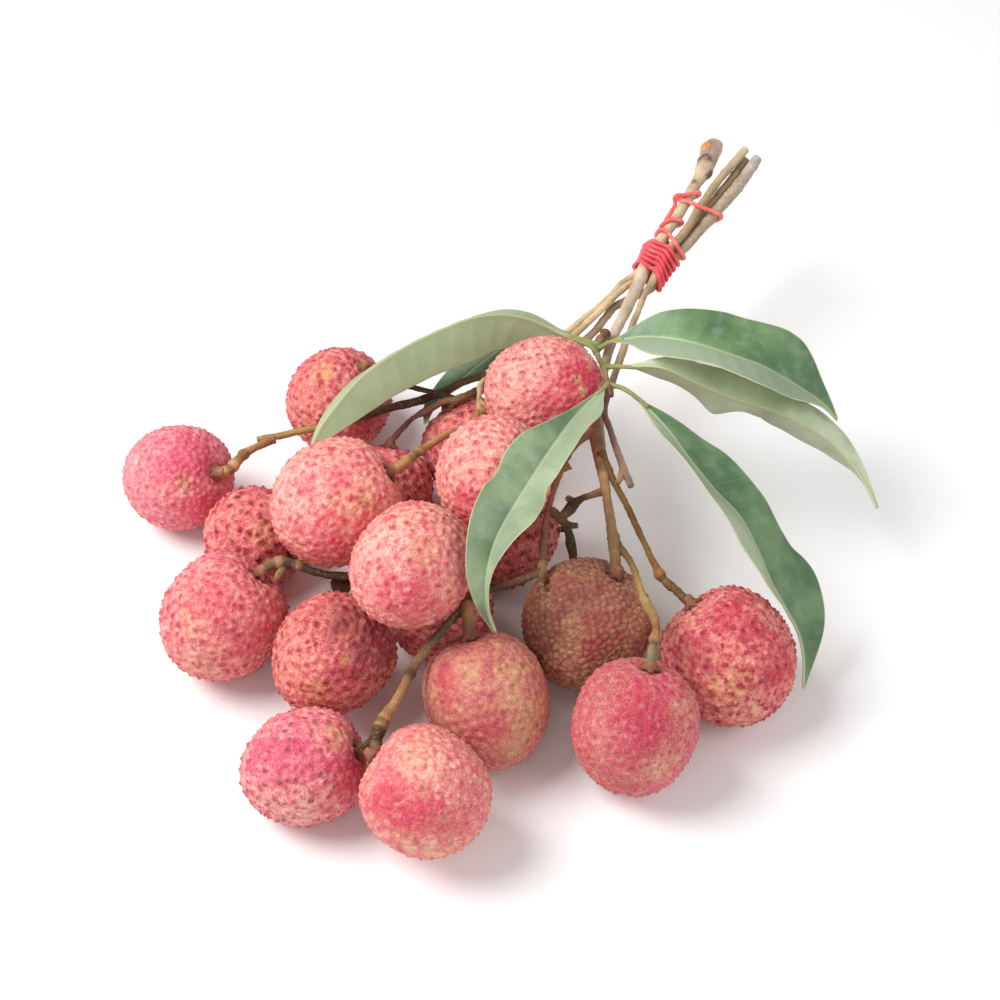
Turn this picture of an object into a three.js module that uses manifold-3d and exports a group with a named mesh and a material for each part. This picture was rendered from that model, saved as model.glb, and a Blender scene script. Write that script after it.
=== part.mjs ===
// A bunch of lychees lying on a surface: nineteen fruit on their woody stems, one pinnate leaf
// with six leaflets, and a rubber band round the cut ends of the stems.
// Units are millimetres, +Z is up, and the bunch rests on the plane z = 0.
import * as THREE from 'three';
import { mergeVertices } from 'three/addons/utils/BufferGeometryUtils.js';
import Module from 'manifold-3d';

const wasm = await Module();
wasm.setup();

// ---- driving dimensions -------------------------------------------------------------------
// The layout below is drawn about a point near the middle of the fruit. This moves it so that
// the origin is the bottom centre of the whole bunch, and presses the lowest fruit 1 mm into
// the surface, which gives each of them its small flat spot.
const LAYOUT_TO_PART = [1.5, -4.8, -1.0];

const BUMP_HEIGHT = 0.9; // a bump on the rind stands this far above the hollows between bumps
const BUMP_SUNK = 0.6; // and the hollows are this far inside the fruit's measured radius
const BUMP_ROUNDS = 2; // subdivisions of the icosahedron: 180 bumps a fruit
const DIMPLE_DEPTH = 1.1; // hollow where the stalk enters

const BLADE_THICK = 0.75; // leaflet at its midrib
const EDGE_THICK = 0.6; // leaflet at its margin
const BLADE_STEPS = 12; // cells along a leaflet
const BLADE_CELLS = 4; // cells across a leaflet

const BAND_THICK = 1.1;
const BAND_CLEAR = 0.55;

// One fruit: where its centre is, which way its stalk end points, its radius at the equator and
// its half length from stalk end to tip, both to the tips of the bumps.
const FRUITS = [
  { name: 'lychee_01', at: [-94.4, 17.4, 16], stalk: [0.79, -0.36, 0.5], round: 15.8, half: 16.6 },
  { name: 'lychee_02', at: [-49, 48.5, 16], stalk: [0.55, 0.06, 0.83], round: 15.8, half: 16.2 },
  { name: 'lychee_03', at: [-70.6, -5, 15], stalk: [0.86, -0.5, 0.1], round: 14.5, half: 15.0 },
  { name: 'lychee_04', at: [-45.5, -15, 40], stalk: [0.86, 0.3, 0.41], round: 17.6, half: 18.4 },
  { name: 'lychee_05', at: [-76.6, -38, 18], stalk: [0.62, 0.38, 0.68], round: 17.5, half: 18.0 },
  { name: 'lychee_06', at: [-45.5, -53.5, 21.5], stalk: [0.68, 0.7, 0.22], round: 16.2, half: 17.2 },
  { name: 'lychee_07', at: [-51.8, -86, 15.5], stalk: [0.94, 0.12, 0.32], round: 15.6, half: 16.8 },
  { name: 'lychee_08', at: [-19, -98, 21.5], stalk: [-0.8, 0.48, 0.29], round: 16.8, half: 17.2 },
  { name: 'lychee_09', at: [-23.5, -43.5, 47], stalk: [0.48, 0.87, -0.1], round: 16.2, half: 18.2 },
  { name: 'lychee_10', at: [-3.5, -66.5, 18], stalk: [-0.25, 0.65, 0.72], round: 17.0, half: 18.9 },
  { name: 'lychee_11', at: [23.5, -40, 18], stalk: [0.45, 0.33, 0.83], round: 17.9, half: 18.4 },
  { name: 'lychee_12', at: [35.5, -77, 20.5], stalk: [0.2, 0.49, 0.85], round: 17.2, half: 18.6 },
  { name: 'lychee_13', at: [62.5, -52, 18.5], stalk: [-0.58, 0.53, 0.62], round: 18.2, half: 19.0 },
  { name: 'lychee_14', at: [12.7, 20, 48], stalk: [-0.94, -0.05, -0.34], round: 16.6, half: 17.3 },
  { name: 'lychee_15', at: [-2, -12.5, 48], stalk: [0.1, 0.99, -0.1], round: 16.2, half: 17.0 },
  { name: 'lychee_16', at: [-34.5, 10, 15], stalk: [0.15, 0.73, 0.66], round: 15.2, half: 15.6 },
  { name: 'lychee_17', at: [-7.5, 28, 15.5], stalk: [-0.52, 0.48, 0.71], round: 15.2, half: 15.8 },
  { name: 'lychee_18', at: [1, -5, 15.5], stalk: [0.57, 0.61, 0.55], round: 15.4, half: 15.8 },
  { name: 'lychee_19', at: [-17.5, -31.5, 15], stalk: [0.62, -0.31, 0.72], round: 15.0, half: 15.2 },
];

const RIND = {
  blush: 0xe0645f,
  pale: 0xe8897c,
  deep: 0xc23f4e,
  tan: 0xb0674f,
};
const RIND_OF = {
  lychee_01: RIND.blush, lychee_02: RIND.deep, lychee_03: RIND.deep, lychee_04: RIND.pale,
  lychee_05: RIND.blush, lychee_06: RIND.blush, lychee_07: RIND.blush, lychee_08: RIND.pale,
  lychee_09: RIND.pale, lychee_10: RIND.blush, lychee_11: RIND.tan, lychee_12: RIND.deep,
  lychee_13: RIND.deep, lychee_14: RIND.pale, lychee_15: RIND.pale, lychee_16: RIND.deep,
  lychee_17: RIND.deep, lychee_18: RIND.deep, lychee_19: RIND.deep,
};

// The cut ends of the five stems lie side by side in a bundle. Stations along it are measured from
// the middle of the tight part of the rubber band, toward the cut ends. Across it, `right` is
// level and `up` stands on the other two. Each stick has [station, right, up, radius] entries.
const BUNDLE_AT = [46.9, 79.4, 44];
const BUNDLE_ALONG = [0.48, 0.855, 0.197];
const BUNDLE_RIGHT = [0.872, -0.489, 0];
const STICKS = {
  main: [
    [49.6, -3.9, 0.3, 2.5], [47.5, -3.6, 0.5, 3], [45, -3.3, 0.7, 2.95], [41.5, -2.7, 0.9, 2.8],
    [37.8, -2.2, 1, 2.8], [35.5, -2, 1.1, 2], [32, -1.9, 1.2, 1.85], [24, -1.4, 1.3, 1.7],
    [12, -1.6, 1.2, 1.7], [0, -1.8, 1.2, 1.8], [-5, -1.5, 1.1, 1.9],
  ],
  left: [
    [7.2, -4.8, -1.4, 1.2], [3, -4.3, -2.4, 1.25], [0, -3.8, -2.9, 1.25], [-5, -4.6, -2.6, 1.2],
  ],
  middle: [
    [50.5, 6.3, -3.4, 1.2], [40, 5.7, -2.5, 1.25], [24, 3.9, -2.2, 1.2], [12, 2.6, -2.6, 1.1],
    [0, -0.1, -2.5, 1.1], [-5, -0.8, -2.8, 1.05],
  ],
  inner: [
    [51.6, 9.6, -2.4, 1.7], [40, 9.4, -1.8, 1.8], [33, 8.6, -1.6, 1.85], [24, 7.2, -1.3, 1.65],
    [12, 5.4, -1.2, 1.45], [0, 3.3, -1.6, 1.35], [-5, 2.8, -2.6, 1.3],
  ],
  bare: [
    [52, 5.5, -0.4, 1.3], [40, 4, 0.3, 1.3], [32, 3.4, 0.8, 1.25], [28, 3.45, 1, 1.25],
    [24, 3.2, 1.2, 1.25], [16, 3.5, 1.4, 1.25], [12, 3.1, 1.5, 1.25], [0, 1.8, 1.8, 1.25],
    [-5, 2.6, 0.8, 1.25],
  ],
};

// A limb is a tapering woody shoot: a stick of the bundle, if it has one, and then points
// [x, y, z, radius] from there on.
const STEMS = [
  {
    name: 'stem_main',
    color: 0xbfa596,
    sides: 5,
    limbs: [
      { // the thick shoot, from its knotty cut end down to lychee_11
        steps: 29,
        sides: 7,
        stick: 'main',
        path: [
          [42, 72.3, 43.2, 1.9], [39.7, 66.9, 41.8, 1.85], [37.3, 61.4, 40.6, 1.75],
          [33.6, 52.6, 38.8, 1.55], [30.8, 42.9, 36.2, 1.4], [28.8, 33.6, 32.7, 1.6],
          [28.1, 21.9, 29.8, 2.3], [28.7, 11.6, 30.5, 2], [29.5, 1.6, 31.7, 1.4],
          [30.1, -8.8, 33.1, 1.25], [30.7, -16.6, 34.4, 1.4], [31.2, -25.6, 35, 1.6],
          [31.4, -32.4, 34.6, 1.5],
        ],
      },
      { // to lychee_12
        steps: 11,
        path: [
          [31.2, -20.9, 33, 1.4], [32.5, -25.7, 34.3, 1.3], [34.1, -28.7, 34.9, 1.05],
          [35.8, -33.2, 35.6, 1], [37.2, -39.4, 36.2, 1.05], [38.2, -45.4, 36.7, 1.15],
          [39.6, -50, 37.2, 1.6], [40.8, -54.2, 38.2, 1.25], [41, -58.6, 38.6, 1.45],
          [40.1, -62.6, 38.6, 1.3], [39.4, -66.6, 38.6, 1.3],
        ],
      },
      { // to lychee_13
        steps: 10,
        path: [
          [28.9, 11.9, 32.3, 1.2], [30.9, 6.1, 31.4, 1.2], [32.5, 0.2, 31.6, 1.1],
          [35.6, -8.4, 31.8, 1.05], [38.1, -16.5, 31.7, 1.05], [40.5, -24.2, 31.7, 1],
          [42.4, -29.7, 31.4, 1.1], [43.9, -33.5, 31.2, 1.65], [45.7, -36.3, 31.2, 1.3],
          [47.8, -38.5, 31.1, 1.25], [49.4, -40.7, 31, 1.35],
        ],
      },
      { // knuckled twig that ends behind lychee_11
        steps: 7,
        path: [
          [29.9, -2.6, 31.7, 1], [25.9, -3.8, 31.3, 0.95], [22.8, -5.3, 31.3, 0.95],
          [20.8, -6.9, 31, 1.7], [19.1, -9, 30.4, 1.6], [17.3, -11.7, 31.5, 1.05],
          [16.2, -11.6, 31.2, 0.95],
        ],
      },
      { // a second knuckled twig, beside it
        steps: 9,
        path: [
          [14.3, -10, 31.5, 1], [15.7, -10.9, 31.1, 1.1], [17.1, -12, 30.4, 1.2],
          [18.2, -13.2, 29.7, 1.3], [19.3, -15.7, 28.2, 1.15], [19.8, -18, 26.3, 1.5],
          [20.4, -19.8, 24.1, 1.25], [20.5, -20.9, 22.3, 1.15],
        ],
      },
      { // to lychee_08, past lychee_10
        steps: 16,
        path: [
          [26.6, 22, 30.4, 1.4], [21.3, 15.6, 30.9, 1.2], [18, 7.2, 31.5, 1.1],
          [14.9, -3, 31.7, 1.1], [12.8, -13.5, 31, 1.1], [11.8, -23.5, 32.2, 1.1],
          [11, -34, 34, 1.15], [4, -38, 34.2, 1], [-3, -41, 34, 1], [-9.4, -46, 33.4, 1.2],
          [-14.9, -52.7, 32.5, 1.2], [-19.9, -60, 31.9, 1.45], [-23.4, -66, 30.7, 1.35],
          [-25.4, -70.4, 29.5, 1.35], [-27.7, -74.8, 28.2, 1.45], [-30.2, -78.5, 27, 2.1],
          [-31.6, -82.1, 26.5, 2.25], [-32.3, -84.7, 25.9, 1.9],
        ],
      },
      { // bare stub where that shoot turns
        steps: 3,
        path: [[11.6, -31, 33.6, 1.05], [11.2, -35, 34, 1.0], [11, -39.4, 34.6, 0.9]],
      },
      { // to lychee_07
        steps: 3,
        path: [[-31.4, -81.6, 26.3, 1.2], [-33.3, -83.1, 23.9, 1.1], [-35.2, -83.9, 22.1, 1.05]],
      },
      { // to lychee_10
        steps: 3,
        path: [[-8.8, -45.6, 33.6, 1.4], [-8.6, -50, 34, 1.6], [-8.4, -53.4, 32.8, 1.7]],
      },
      { // to lychee_19
        steps: 3,
        path: [[-3, -41, 34, 0.9], [-5.8, -38.8, 30, 0.8], [-7.8, -36.8, 26.6, 0.9]],
      },
      { // to lychee_18
        steps: 4,
        path: [[20, 8, 31, 0.9], [15.6, 6, 29, 0.8], [12, 5, 26.6, 0.8], [10.3, 4.8, 24.9, 0.9]],
      },
    ],
  },
  {
    name: 'stem_left',
    color: 0x8a6f55,
    sides: 5,
    limbs: [
      { // the long shoot that reaches lychee_01 and ends in a stub
        steps: 20,
        stick: 'left',
        path: [
          [37.2, 75.9, 38.8, 1.1], [32.9, 71.8, 36.6, 1.1], [29.3, 67.9, 35.6, 1.15],
          [24.4, 63.8, 34.6, 1.15], [21, 60.3, 33.8, 1.15], [15.8, 55.4, 33.2, 1.15],
          [5.9, 49.1, 32.1, 1.15], [-4.7, 44.3, 31, 1.1], [-11.2, 41.8, 30.5, 1.1],
          [-17.1, 39.3, 29, 1.15], [-23.6, 37.2, 27.6, 1.3], [-31.3, 35, 27.2, 1.3],
          [-37.1, 33.2, 26.8, 1.35], [-43.5, 30.7, 26, 1.3], [-53.3, 28.4, 25, 0.9],
          [-58.7, 27.5, 24.6, 1], [-64.5, 26.2, 24.1, 1.1], [-68.3, 25.6, 23.8, 1.05],
          [-71.1, 25.2, 23.5, 0.85],
        ],
      },
      { // to lychee_01
        steps: 5,
        path: [
          [-66.2, 25.3, 23.7, 1.05], [-69.6, 23, 23.7, 1.15], [-72.6, 20.7, 24, 1.1],
          [-74.7, 18.2, 24.4, 1.6], [-76.3, 15.1, 24.6, 1.45], [-78.3, 12.2, 24.4, 1.7],
        ],
      },
    ],
  },
  {
    name: 'stem_middle',
    color: 0x9a7b58,
    sides: 5,
    limbs: [
      { // to lychee_16, through the fork for lychee_02
        steps: 21,
        stick: 'middle',
        path: [
          [41.4, 75.1, 40.5, 1.05], [38.3, 73, 40.5, 1.05], [34.1, 69.8, 38.6, 1.05],
          [30.7, 66.3, 37.3, 1.05], [26.6, 62.2, 36.1, 1.1], [23.4, 59, 35, 1.1],
          [18.5, 54.5, 33.7, 1.15], [6.8, 45.3, 31.4, 1.3], [-5.3, 38.7, 30.8, 1.35],
          [-10, 35.1, 31.7, 1.2], [-12.9, 33.9, 31.4, 1.15], [-15.8, 34, 30.8, 1.05],
          [-19.1, 34.1, 28.7, 1.05], [-21.5, 32.8, 27.9, 1.3], [-23.6, 31.6, 27.6, 0.9],
          [-26, 29.9, 27.1, 0.8], [-28.1, 27.4, 26.8, 0.8], [-29.9, 24.6, 26.5, 0.9],
          [-31.7, 21.9, 26.1, 1],
        ],
      },
      { // to lychee_02
        steps: 6,
        path: [
          [-13.8, 35.4, 29.7, 1.1], [-16.7, 35.8, 31.1, 0.95], [-19.4, 36.3, 31.8, 0.8],
          [-22.3, 37.3, 31.8, 0.75], [-25.3, 38.6, 31.5, 0.75], [-28.9, 40.7, 30.7, 0.75],
          [-34.1, 44.7, 29.7, 0.8], [-37.5, 47.6, 29.6, 0.95],
        ],
      },
      { // to lychee_17
        steps: 2,
        path: [[-13.1, 33.9, 31.1, 0.9], [-13.6, 33.9, 30.2, 0.95], [-14, 33.9, 29.3, 1]],
      },
    ],
  },
  {
    name: 'stem_inner',
    color: 0x8f7856,
    sides: 5,
    scale: { // a dry bract on the twig of lychee_05
      steps: 3, waves: 0, wave: 0, phase: 0, curl: 0,
      wideLeft: [0.5, 3.4, 2.4, 0.5],
      wideRight: [0.5, 3.4, 2.4, 0.5],
      rib: [[-43.4, -29.8, 27.4], [-43.8, -31.6, 24], [-44.2, -33.6, 20.4]],
      left: [[-1, 0, 0.1], [-1, 0, 0.2]],
      right: [[1, 0.1, 0.2], [1, 0.1, 0.3]],
    },
    limbs: [
      { // rough bark at its cut end; it runs under the upper fruit to lychee_05
        steps: 33,
        stick: 'inner',
        path: [
          [45.4, 73, 39, 1.2], [42.3, 72, 37.9, 1.2], [38.7, 70.7, 37, 1.2],
          [34.4, 68.6, 35.7, 1.2], [32, 65.7, 34.5, 1.2], [28.7, 61.3, 33.1, 1.2],
          [25.7, 58, 32.3, 1.2], [22.1, 53.6, 31.6, 1.2], [16.7, 48, 31.2, 1.1],
          [7.9, 40.5, 33.5, 1.1], [-2.9, 36.8, 37.1, 1.05], [-5.5, 34.2, 37.5, 0.9],
          [-5.9, 30.1, 37.5, 0.8], [-6, 25.5, 38, 0.8], [-5.3, 20.7, 39.1, 1],
          [-4, 17.1, 39.6, 1], [-3.7, 10.6, 38.6, 1], [-6.2, 1.6, 33.7, 1], [-10.7, -6.4, 30, 1],
          [-15.4, -12.5, 28, 1], [-21.2, -16.8, 27.9, 1.05], [-30, -24, 28.5, 1.1],
          [-41.2, -30.3, 27.6, 1.3], [-46.7, -30.6, 28.2, 1], [-51.9, -30.1, 29.5, 1.1],
          [-56.2, -29.3, 31.2, 1.4], [-60, -29.2, 31.9, 1.6], [-63.5, -30.2, 31.5, 1.45],
        ],
      },
      { // a bud below the calyx of lychee_05
        steps: 2,
        path: [[-59.2, -30, 30.9, 0.95], [-60.4, -31.6, 29.8, 1.05], [-61.2, -32.3, 28.6, 0.85]],
      },
      { // to lychee_04
        steps: 9,
        path: [
          [-5.5, 21.3, 38.8, 0.9], [-7.1, 17.5, 39.9, 0.85], [-9.2, 14.3, 41.4, 0.85],
          [-11.7, 10.6, 43.2, 0.85], [-15.1, 6.3, 45.2, 0.95], [-18.4, 2, 46.7, 1.05],
          [-20.8, -0.8, 47.4, 1.1], [-22.7, -2.9, 47.9, 1.35], [-25.2, -5.8, 48.3, 1.3],
          [-27.5, -8.3, 48.2, 1.55],
        ],
      },
      { // to lychee_14
        steps: 2,
        path: [[-6, 27.2, 37.9, 0.8], [-4.8, 24.9, 38.8, 0.75], [-3.6, 22.8, 39.8, 0.8]],
      },
      { // to lychee_15
        steps: 2,
        path: [[-3.7, 13, 39.4, 0.9], [-2.7, 9.2, 41.4, 0.85], [-1.4, 5.3, 44, 0.9]],
      },
      { // to lychee_09
        steps: 3,
        path: [
          [-15.1, -12.2, 28.3, 0.9], [-14.7, -15.5, 32.6, 0.85], [-15.1, -21.2, 38.2, 0.85],
          [-15.5, -26.1, 42.6, 0.9],
        ],
      },
      { // to lychee_06
        steps: 4,
        path: [
          [-29, -22.6, 28.8, 0.9], [-32, -31, 27.6, 0.85],
          [-33.3, -38.5, 26, 0.85], [-33.7, -40.8, 25.4, 0.9],
        ],
      },
      { // to lychee_03
        steps: 5,
        path: [
          [-53.2, -29.9, 29.9, 0.9], [-54, -24, 24, 0.8], [-56, -16.6, 18.4, 0.8],
          [-57.3, -13.6, 16.7, 0.9],
        ],
      },
    ],
  },
  {
    name: 'stem_bare',
    color: 0xa3805c,
    sides: 5,
    limbs: [
      { // a shoot that has lost its fruit and ends in a fork
        steps: 19,
        stick: 'bare',
        path: [
          [46.1, 72.2, 43.7, 1.15], [43.6, 68, 42, 1], [41.5, 62.6, 40.8, 0.95],
          [39.3, 56.6, 39.6, 0.95], [36, 46.4, 38.2, 1.15], [32.7, 35.8, 36.3, 1.05],
          [30.2, 26.1, 35.3, 0.95], [31.6, 18, 35, 0.95], [33.6, 9.4, 34.5, 1],
          [35.1, 3, 34.4, 1.15], [36.9, -2.6, 33.7, 0.95],
        ],
      },
      { // the other prong
        steps: 2,
        path: [[34.9, 3.2, 34.2, 0.9], [34, 0.3, 34.4, 0.85], [33.2, -1.9, 34.3, 0.8]],
      },
    ],
  },
];

// The rubber band: tight turns side by side, each crossing the left edge of the bundle at one
// station and the right edge at another, then a loose end that winds round single sticks.
const BAND_TURNS = 6;
const BAND_LEFT = { degrees: 159, station: -2.7, pitch: 1.6 };
const BAND_RIGHT = { degrees: -21, station: -6.4, pitch: 1.95 };
const BAND_STEPS = 6; // a half turn
const BAND_SIDES = 4;
const BAND_LOOSE = [ // [station, stick, degrees round it, lift off it]
  [3.6, 'inner', -20, 0], [4.8, 'inner', -72, 0], [6.6, 'middle', -100, 0],
  [8.3, 'main', -120, 0], [9, 'main', -165, 0], [9.3, 'main', 170, 0], [9.9, 'main', 120, 0],
  [10, 'main', 80, 0], [9.6, 'main', 40, 0], [7.2, 'bare', 72, 0], [6.6, 'inner', 60, 0],
  [6.5, 'inner', 0, 0], [7.2, 'inner', -70, 0], [9, 'middle', -95, 0], [11, 'main', -110, 0],
  [12, 'main', -160, 0], [12.4, 'main', 165, 0], [14.4, 'main', 95, 0], [16.2, 'main', 25, 0],
  [16.6, 'main', -25, 0], [16, 'main', -90, 0], [15.2, 'main', -150, 0], [15, 'main', -175, 0],
  [18, 'main', 178, 0], [21.5, 'main', 168, 0], [23, 'main', 140, 1.65], [24.8, 'main', 100, 0],
  [28.4, 'main', 25, 0], [29, 'main', -25, 0], [28, 'main', -90, 0], [25.6, 'main', -150, 0],
  [23.9, 'main', 170, 0], [22.5, 'main', 100, 0], [23.2, 'main', 50, 0], [22.9, 'bare', 80, 0],
  [24.4, 'inner', 75, 0], [25.6, 'inner', 5, 0], [25.3, 'inner', -35, 0], [24.4, 'inner', -78, 0],
  [20, 'inner', -90, 0], [14, 'inner', -90, 0], [10.5, 'inner', -90, 0],
];

// One leaflet: its midrib from base to tip, the widths of its two halves at even steps along it,
// and the directions in which the halves leave it. Waves run along both margins, and curl bends
// them back.
const LEAFLETS = [
  { // upper right
    waves: 1.6, wave: 0.9, phase: 0.4, curl: -0.8,
    wideLeft: [0.5, 3.5, 8, 10.5, 12.5, 14.2, 14.3, 14.3, 15, 14, 9.5, 4, 0.5],
    wideRight: [0.5, 4.5, 8, 10, 10, 8.5, 11, 13.5, 12.5, 8, 3.5, 1.2, 0.5],
    rib: [
      [32.5, 35.9, 52.9], [40.4, 33.6, 56.8], [49.5, 29, 60.2], [58, 25.2, 61],
      [65.6, 22.9, 59.7], [73.2, 21.6, 57.2], [79.7, 20.5, 53.6], [86.7, 19.5, 48.7],
      [91.9, 18.9, 44.4], [96.1, 17, 40.2],
    ],
    left: [[0.1, 0.95, 0.3], [0.1, 0.96, 0.25], [0.35, 0.9, 0.2], [0.5, 0.8, 0.1]],
    right: [[0, -0.9, 0.45], [0, -0.92, 0.4], [0, -0.95, 0.3], [-0.2, -0.95, 0.2]],
  },
  { // right, turned over, under the first
    waves: 2.4, wave: 1.0, phase: 0.6, curl: -0.6,
    wideLeft: [0.5, 3, 6.5, 9, 10, 8.7, 8, 8.5, 9.2, 7, 3.8, 1.8, 0.5],
    wideRight: [
      0.5, 5, 8, 8.4, 7, 8.5, 10.5, 4.5, 4.5, 9, 12.5, 12.9, 12.4, 11.5, 9, 5, 3, 1.2, 0.5,
    ],
    rib: [
      [37.1, 22.8, 56], [45, 21.2, 57], [55.9, 18.3, 53.3], [66.7, 15.9, 49.6],
      [75.4, 15.4, 46.5], [84.8, 13.8, 42.3], [93.6, 10.8, 37.8], [100.2, 6.3, 32.8],
      [104.1, 2.2, 28.6], [107, -3.6, 25.6],
    ],
    left: [[0.2, 0.96, 0.1], [0.3, 0.93, 0.1], [0.4, 0.9, 0.05], [0.5, 0.85, 0]],
    right: [
      [0.2, 0.3, -0.9], [0.2, 0.2, -0.95], [0, 0.1, -1], [0.25, 0.3, -0.9], [0.25, 0.2, -0.9],
      [0.25, 0.2, -0.9], [0.25, 0.3, -0.9],
    ],
  },
  { // lower right, beside lychee_13
    waves: 2.2, wave: 1.5, phase: 2.6, curl: -0.8,
    wideLeft: [0.5, 3.8, 7.6, 11.3, 12, 10.8, 11, 13.2, 15, 14, 9.6, 4.3, 0.5],
    wideRight: [0.5, 3.2, 6.9, 11, 12.5, 11.6, 8, 5.5, 4.5, 3, 1.5, 0.8, 0.5],
    rib: [
      [38.5, 5.1, 59.7], [45, -5.2, 59.9], [51.4, -16.6, 58.6], [57.1, -24.3, 56],
      [63.7, -30.5, 52.2], [68.5, -36.8, 46.1], [72.6, -42.2, 38.5], [77.2, -43.4, 29.2],
      [81, -45.4, 22], [83, -48.6, 15.2], [83.5, -53.1, 6.5],
    ],
    left: [[0.7, 0.7, 0.1], [0.7, 0.7, -0.15], [0.72, 0.68, -0.15], [0.8, 0.55, 0]],
    right: [[-0.3, -0.75, 0.6], [-0.2, -0.72, 0.67], [-0.2, -0.65, 0.72], [-0.2, -0.6, 0.75]],
  },
  { // front, lying over lychee_15
    waves: 2.1, wave: 1.6, phase: 4.0, curl: -0.8,
    wideLeft: [0.8, 5.8, 8.8, 10, 10.3, 8.2, 6.2, 9.6, 14, 9.5, 3, 1, 0.5],
    wideRight: [0.5, 1.4, 2.8, 5.7, 9.2, 9.6, 8.3, 9.9, 9.6, 7, 4.6, 2.5, 0.5],
    rib: [
      [28.4, 10.2, 59.1], [25.3, 6.5, 59.1], [19.9, -1.7, 59.8], [14.6, -11.6, 60.3],
      [9.8, -21.5, 60.8], [5.9, -30.1, 61.2], [1.5, -39.4, 60.7], [-1.3, -45.4, 58.8],
      [-3.5, -52, 53.5], [-3.4, -56.3, 46.3], [-1.2, -58.7, 38.1],
    ],
    left: [[0.45, -0.7, 0.5], [0.38, -0.76, 0.5], [0.34, -0.76, 0.54], [0.3, -0.7, 0.6]],
    right: [[-0.75, 0.4, 0.4], [-0.82, 0.25, 0.5], [-0.84, 0.2, 0.5], [-0.85, 0.1, 0.45]],
  },
  { // left, turned over, behind lychee_14
    waves: 1.4, wave: 0.7, phase: 0, curl: -0.8,
    wideLeft: [0.9, 5.6, 9.4, 10.6, 12.1, 12, 11.1, 10.9, 10.1, 9.3, 6.9, 4.2, 0.5],
    wideRight: [0.5, 4, 8, 11, 12.5, 13, 13, 12.5, 11, 9, 6, 3, 0.5],
    rib: [
      [21.7, 41.5, 48], [15.9, 44, 49.4], [8.7, 45.6, 52.3], [1.4, 45.8, 54],
      [-7.2, 44.8, 53.9], [-17, 42.2, 51.5], [-28.9, 37.2, 48], [-39.6, 29.4, 45],
      [-46, 22, 42], [-51.2, 15.4, 38.4], [-54.4, 9, 34.4],
    ],
    left: [
      [0, -0.2, -0.98], [0, -0.45, -0.88], [0, -0.74, -0.67], [0.1, -0.74, -0.66],
      [0.3, -0.7, -0.65],
    ],
    right: [[0, 0.9, -0.3], [0, 0.8, -0.6], [0, 0.8, -0.6], [-0.4, 0.8, -0.4]],
  },
  { // left, low behind the one above
    waves: 2, wave: 0.8, phase: 0, curl: -0.5,
    wideLeft: [0.5, 2.5, 3, 3.5, 3.5, 2.5, 1, 0.6, 0.5],
    wideRight: [0.5, 2.5, 4.5, 6, 6.5, 6, 5, 3, 0.5],
    rib: [
      [18.5, 47.6, 44], [11.8, 51.7, 41.3], [4.5, 52.9, 36.8], [-3, 51.1, 32],
      [-10.2, 47.6, 27.5], [-15.8, 42.8, 25.5], [-19.8, 36.6, 25.4], [-22, 29.8, 25.5],
    ],
    left: [[0, -0.95, 0.2], [0, -0.98, 0.1], [0.2, -0.9, 0], [0.6, -0.7, -0.2], [0.9, 0, 0]],
    right: [[0, 0.95, 0.2], [0, 0.95, 0.2], [-0.5, 0.8, 0.1], [-0.9, 0.2, -0.1], [-0.9, 0, 0]],
  },
];
const LEAF_STALKS = [
  { // the leaf's own stalk, from its swollen foot on the main stem to the bud at its end
    steps: 9,
    path: [
      [31.1, 51.2, 41.5, 1.3], [30, 47.4, 42.9, 1.15], [28.8, 42.6, 45.1, 0.95],
      [28, 37.6, 47.3, 0.85], [28.5, 29.9, 51.1, 0.75], [29.5, 23.8, 53.7, 0.75],
      [29.8, 17.8, 55.8, 0.8], [30.3, 12.1, 58, 1.1], [30.8, 8.8, 58.4, 0.75],
    ],
  },
  {
    steps: 3,
    path: [
      [28.8, 42.5, 45.2, 0.75], [25.1, 44.6, 44.9, 0.7], [21.1, 47.3, 44.2, 0.7],
      [18, 49.6, 43.9, 0.65],
    ],
  },
  {
    steps: 3,
    path: [
      [28.2, 38.8, 46.8, 0.75], [29.6, 38, 49, 0.7], [32.2, 36.9, 52, 0.65],
      [35, 35.4, 54.4, 0.65],
    ],
  },
  {
    steps: 3,
    path: [
      [27.9, 35.5, 48.4, 0.75], [26.4, 37.8, 49.1, 0.7], [23.1, 40.4, 48.5, 0.65],
      [18.6, 42.6, 48.5, 0.65],
    ],
  },
  {
    steps: 3,
    path: [
      [29.2, 25.5, 53, 0.75], [31.4, 24.4, 54.2, 0.7], [34.4, 23.4, 55.2, 0.65],
      [40, 22, 56.2, 0.65],
    ],
  },
  { steps: 2, path: [[30.1, 14, 57.3, 0.75], [34, 10.6, 59.4, 0.65], [40.6, 2.6, 60.3, 0.65]] },
  { steps: 2, path: [[30.1, 14.5, 57.2, 0.75], [29.2, 11.6, 58.8, 0.7], [26.6, 8, 59.4, 0.65]] },
];

const COLORS = {
  leaf: 0x5f8f63,
  band: 0xeb4b4b,
};

// ---- helpers ------------------------------------------------------------------------------
const vec = (p) => new THREE.Vector3(p[0], p[1], p[2]);
const bundleAlong = vec(BUNDLE_ALONG).normalize();
const bundleRight = vec(BUNDLE_RIGHT).normalize();
const bundleUp = new THREE.Vector3().crossVectors(bundleRight, bundleAlong);

// A place in the bundle as [x, y, z].
function inBundle(station, right, up) {
  const place = vec(BUNDLE_AT).addScaledVector(bundleAlong, station);
  place.addScaledVector(bundleRight, right).addScaledVector(bundleUp, up);
  return place.toArray();
}

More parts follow.
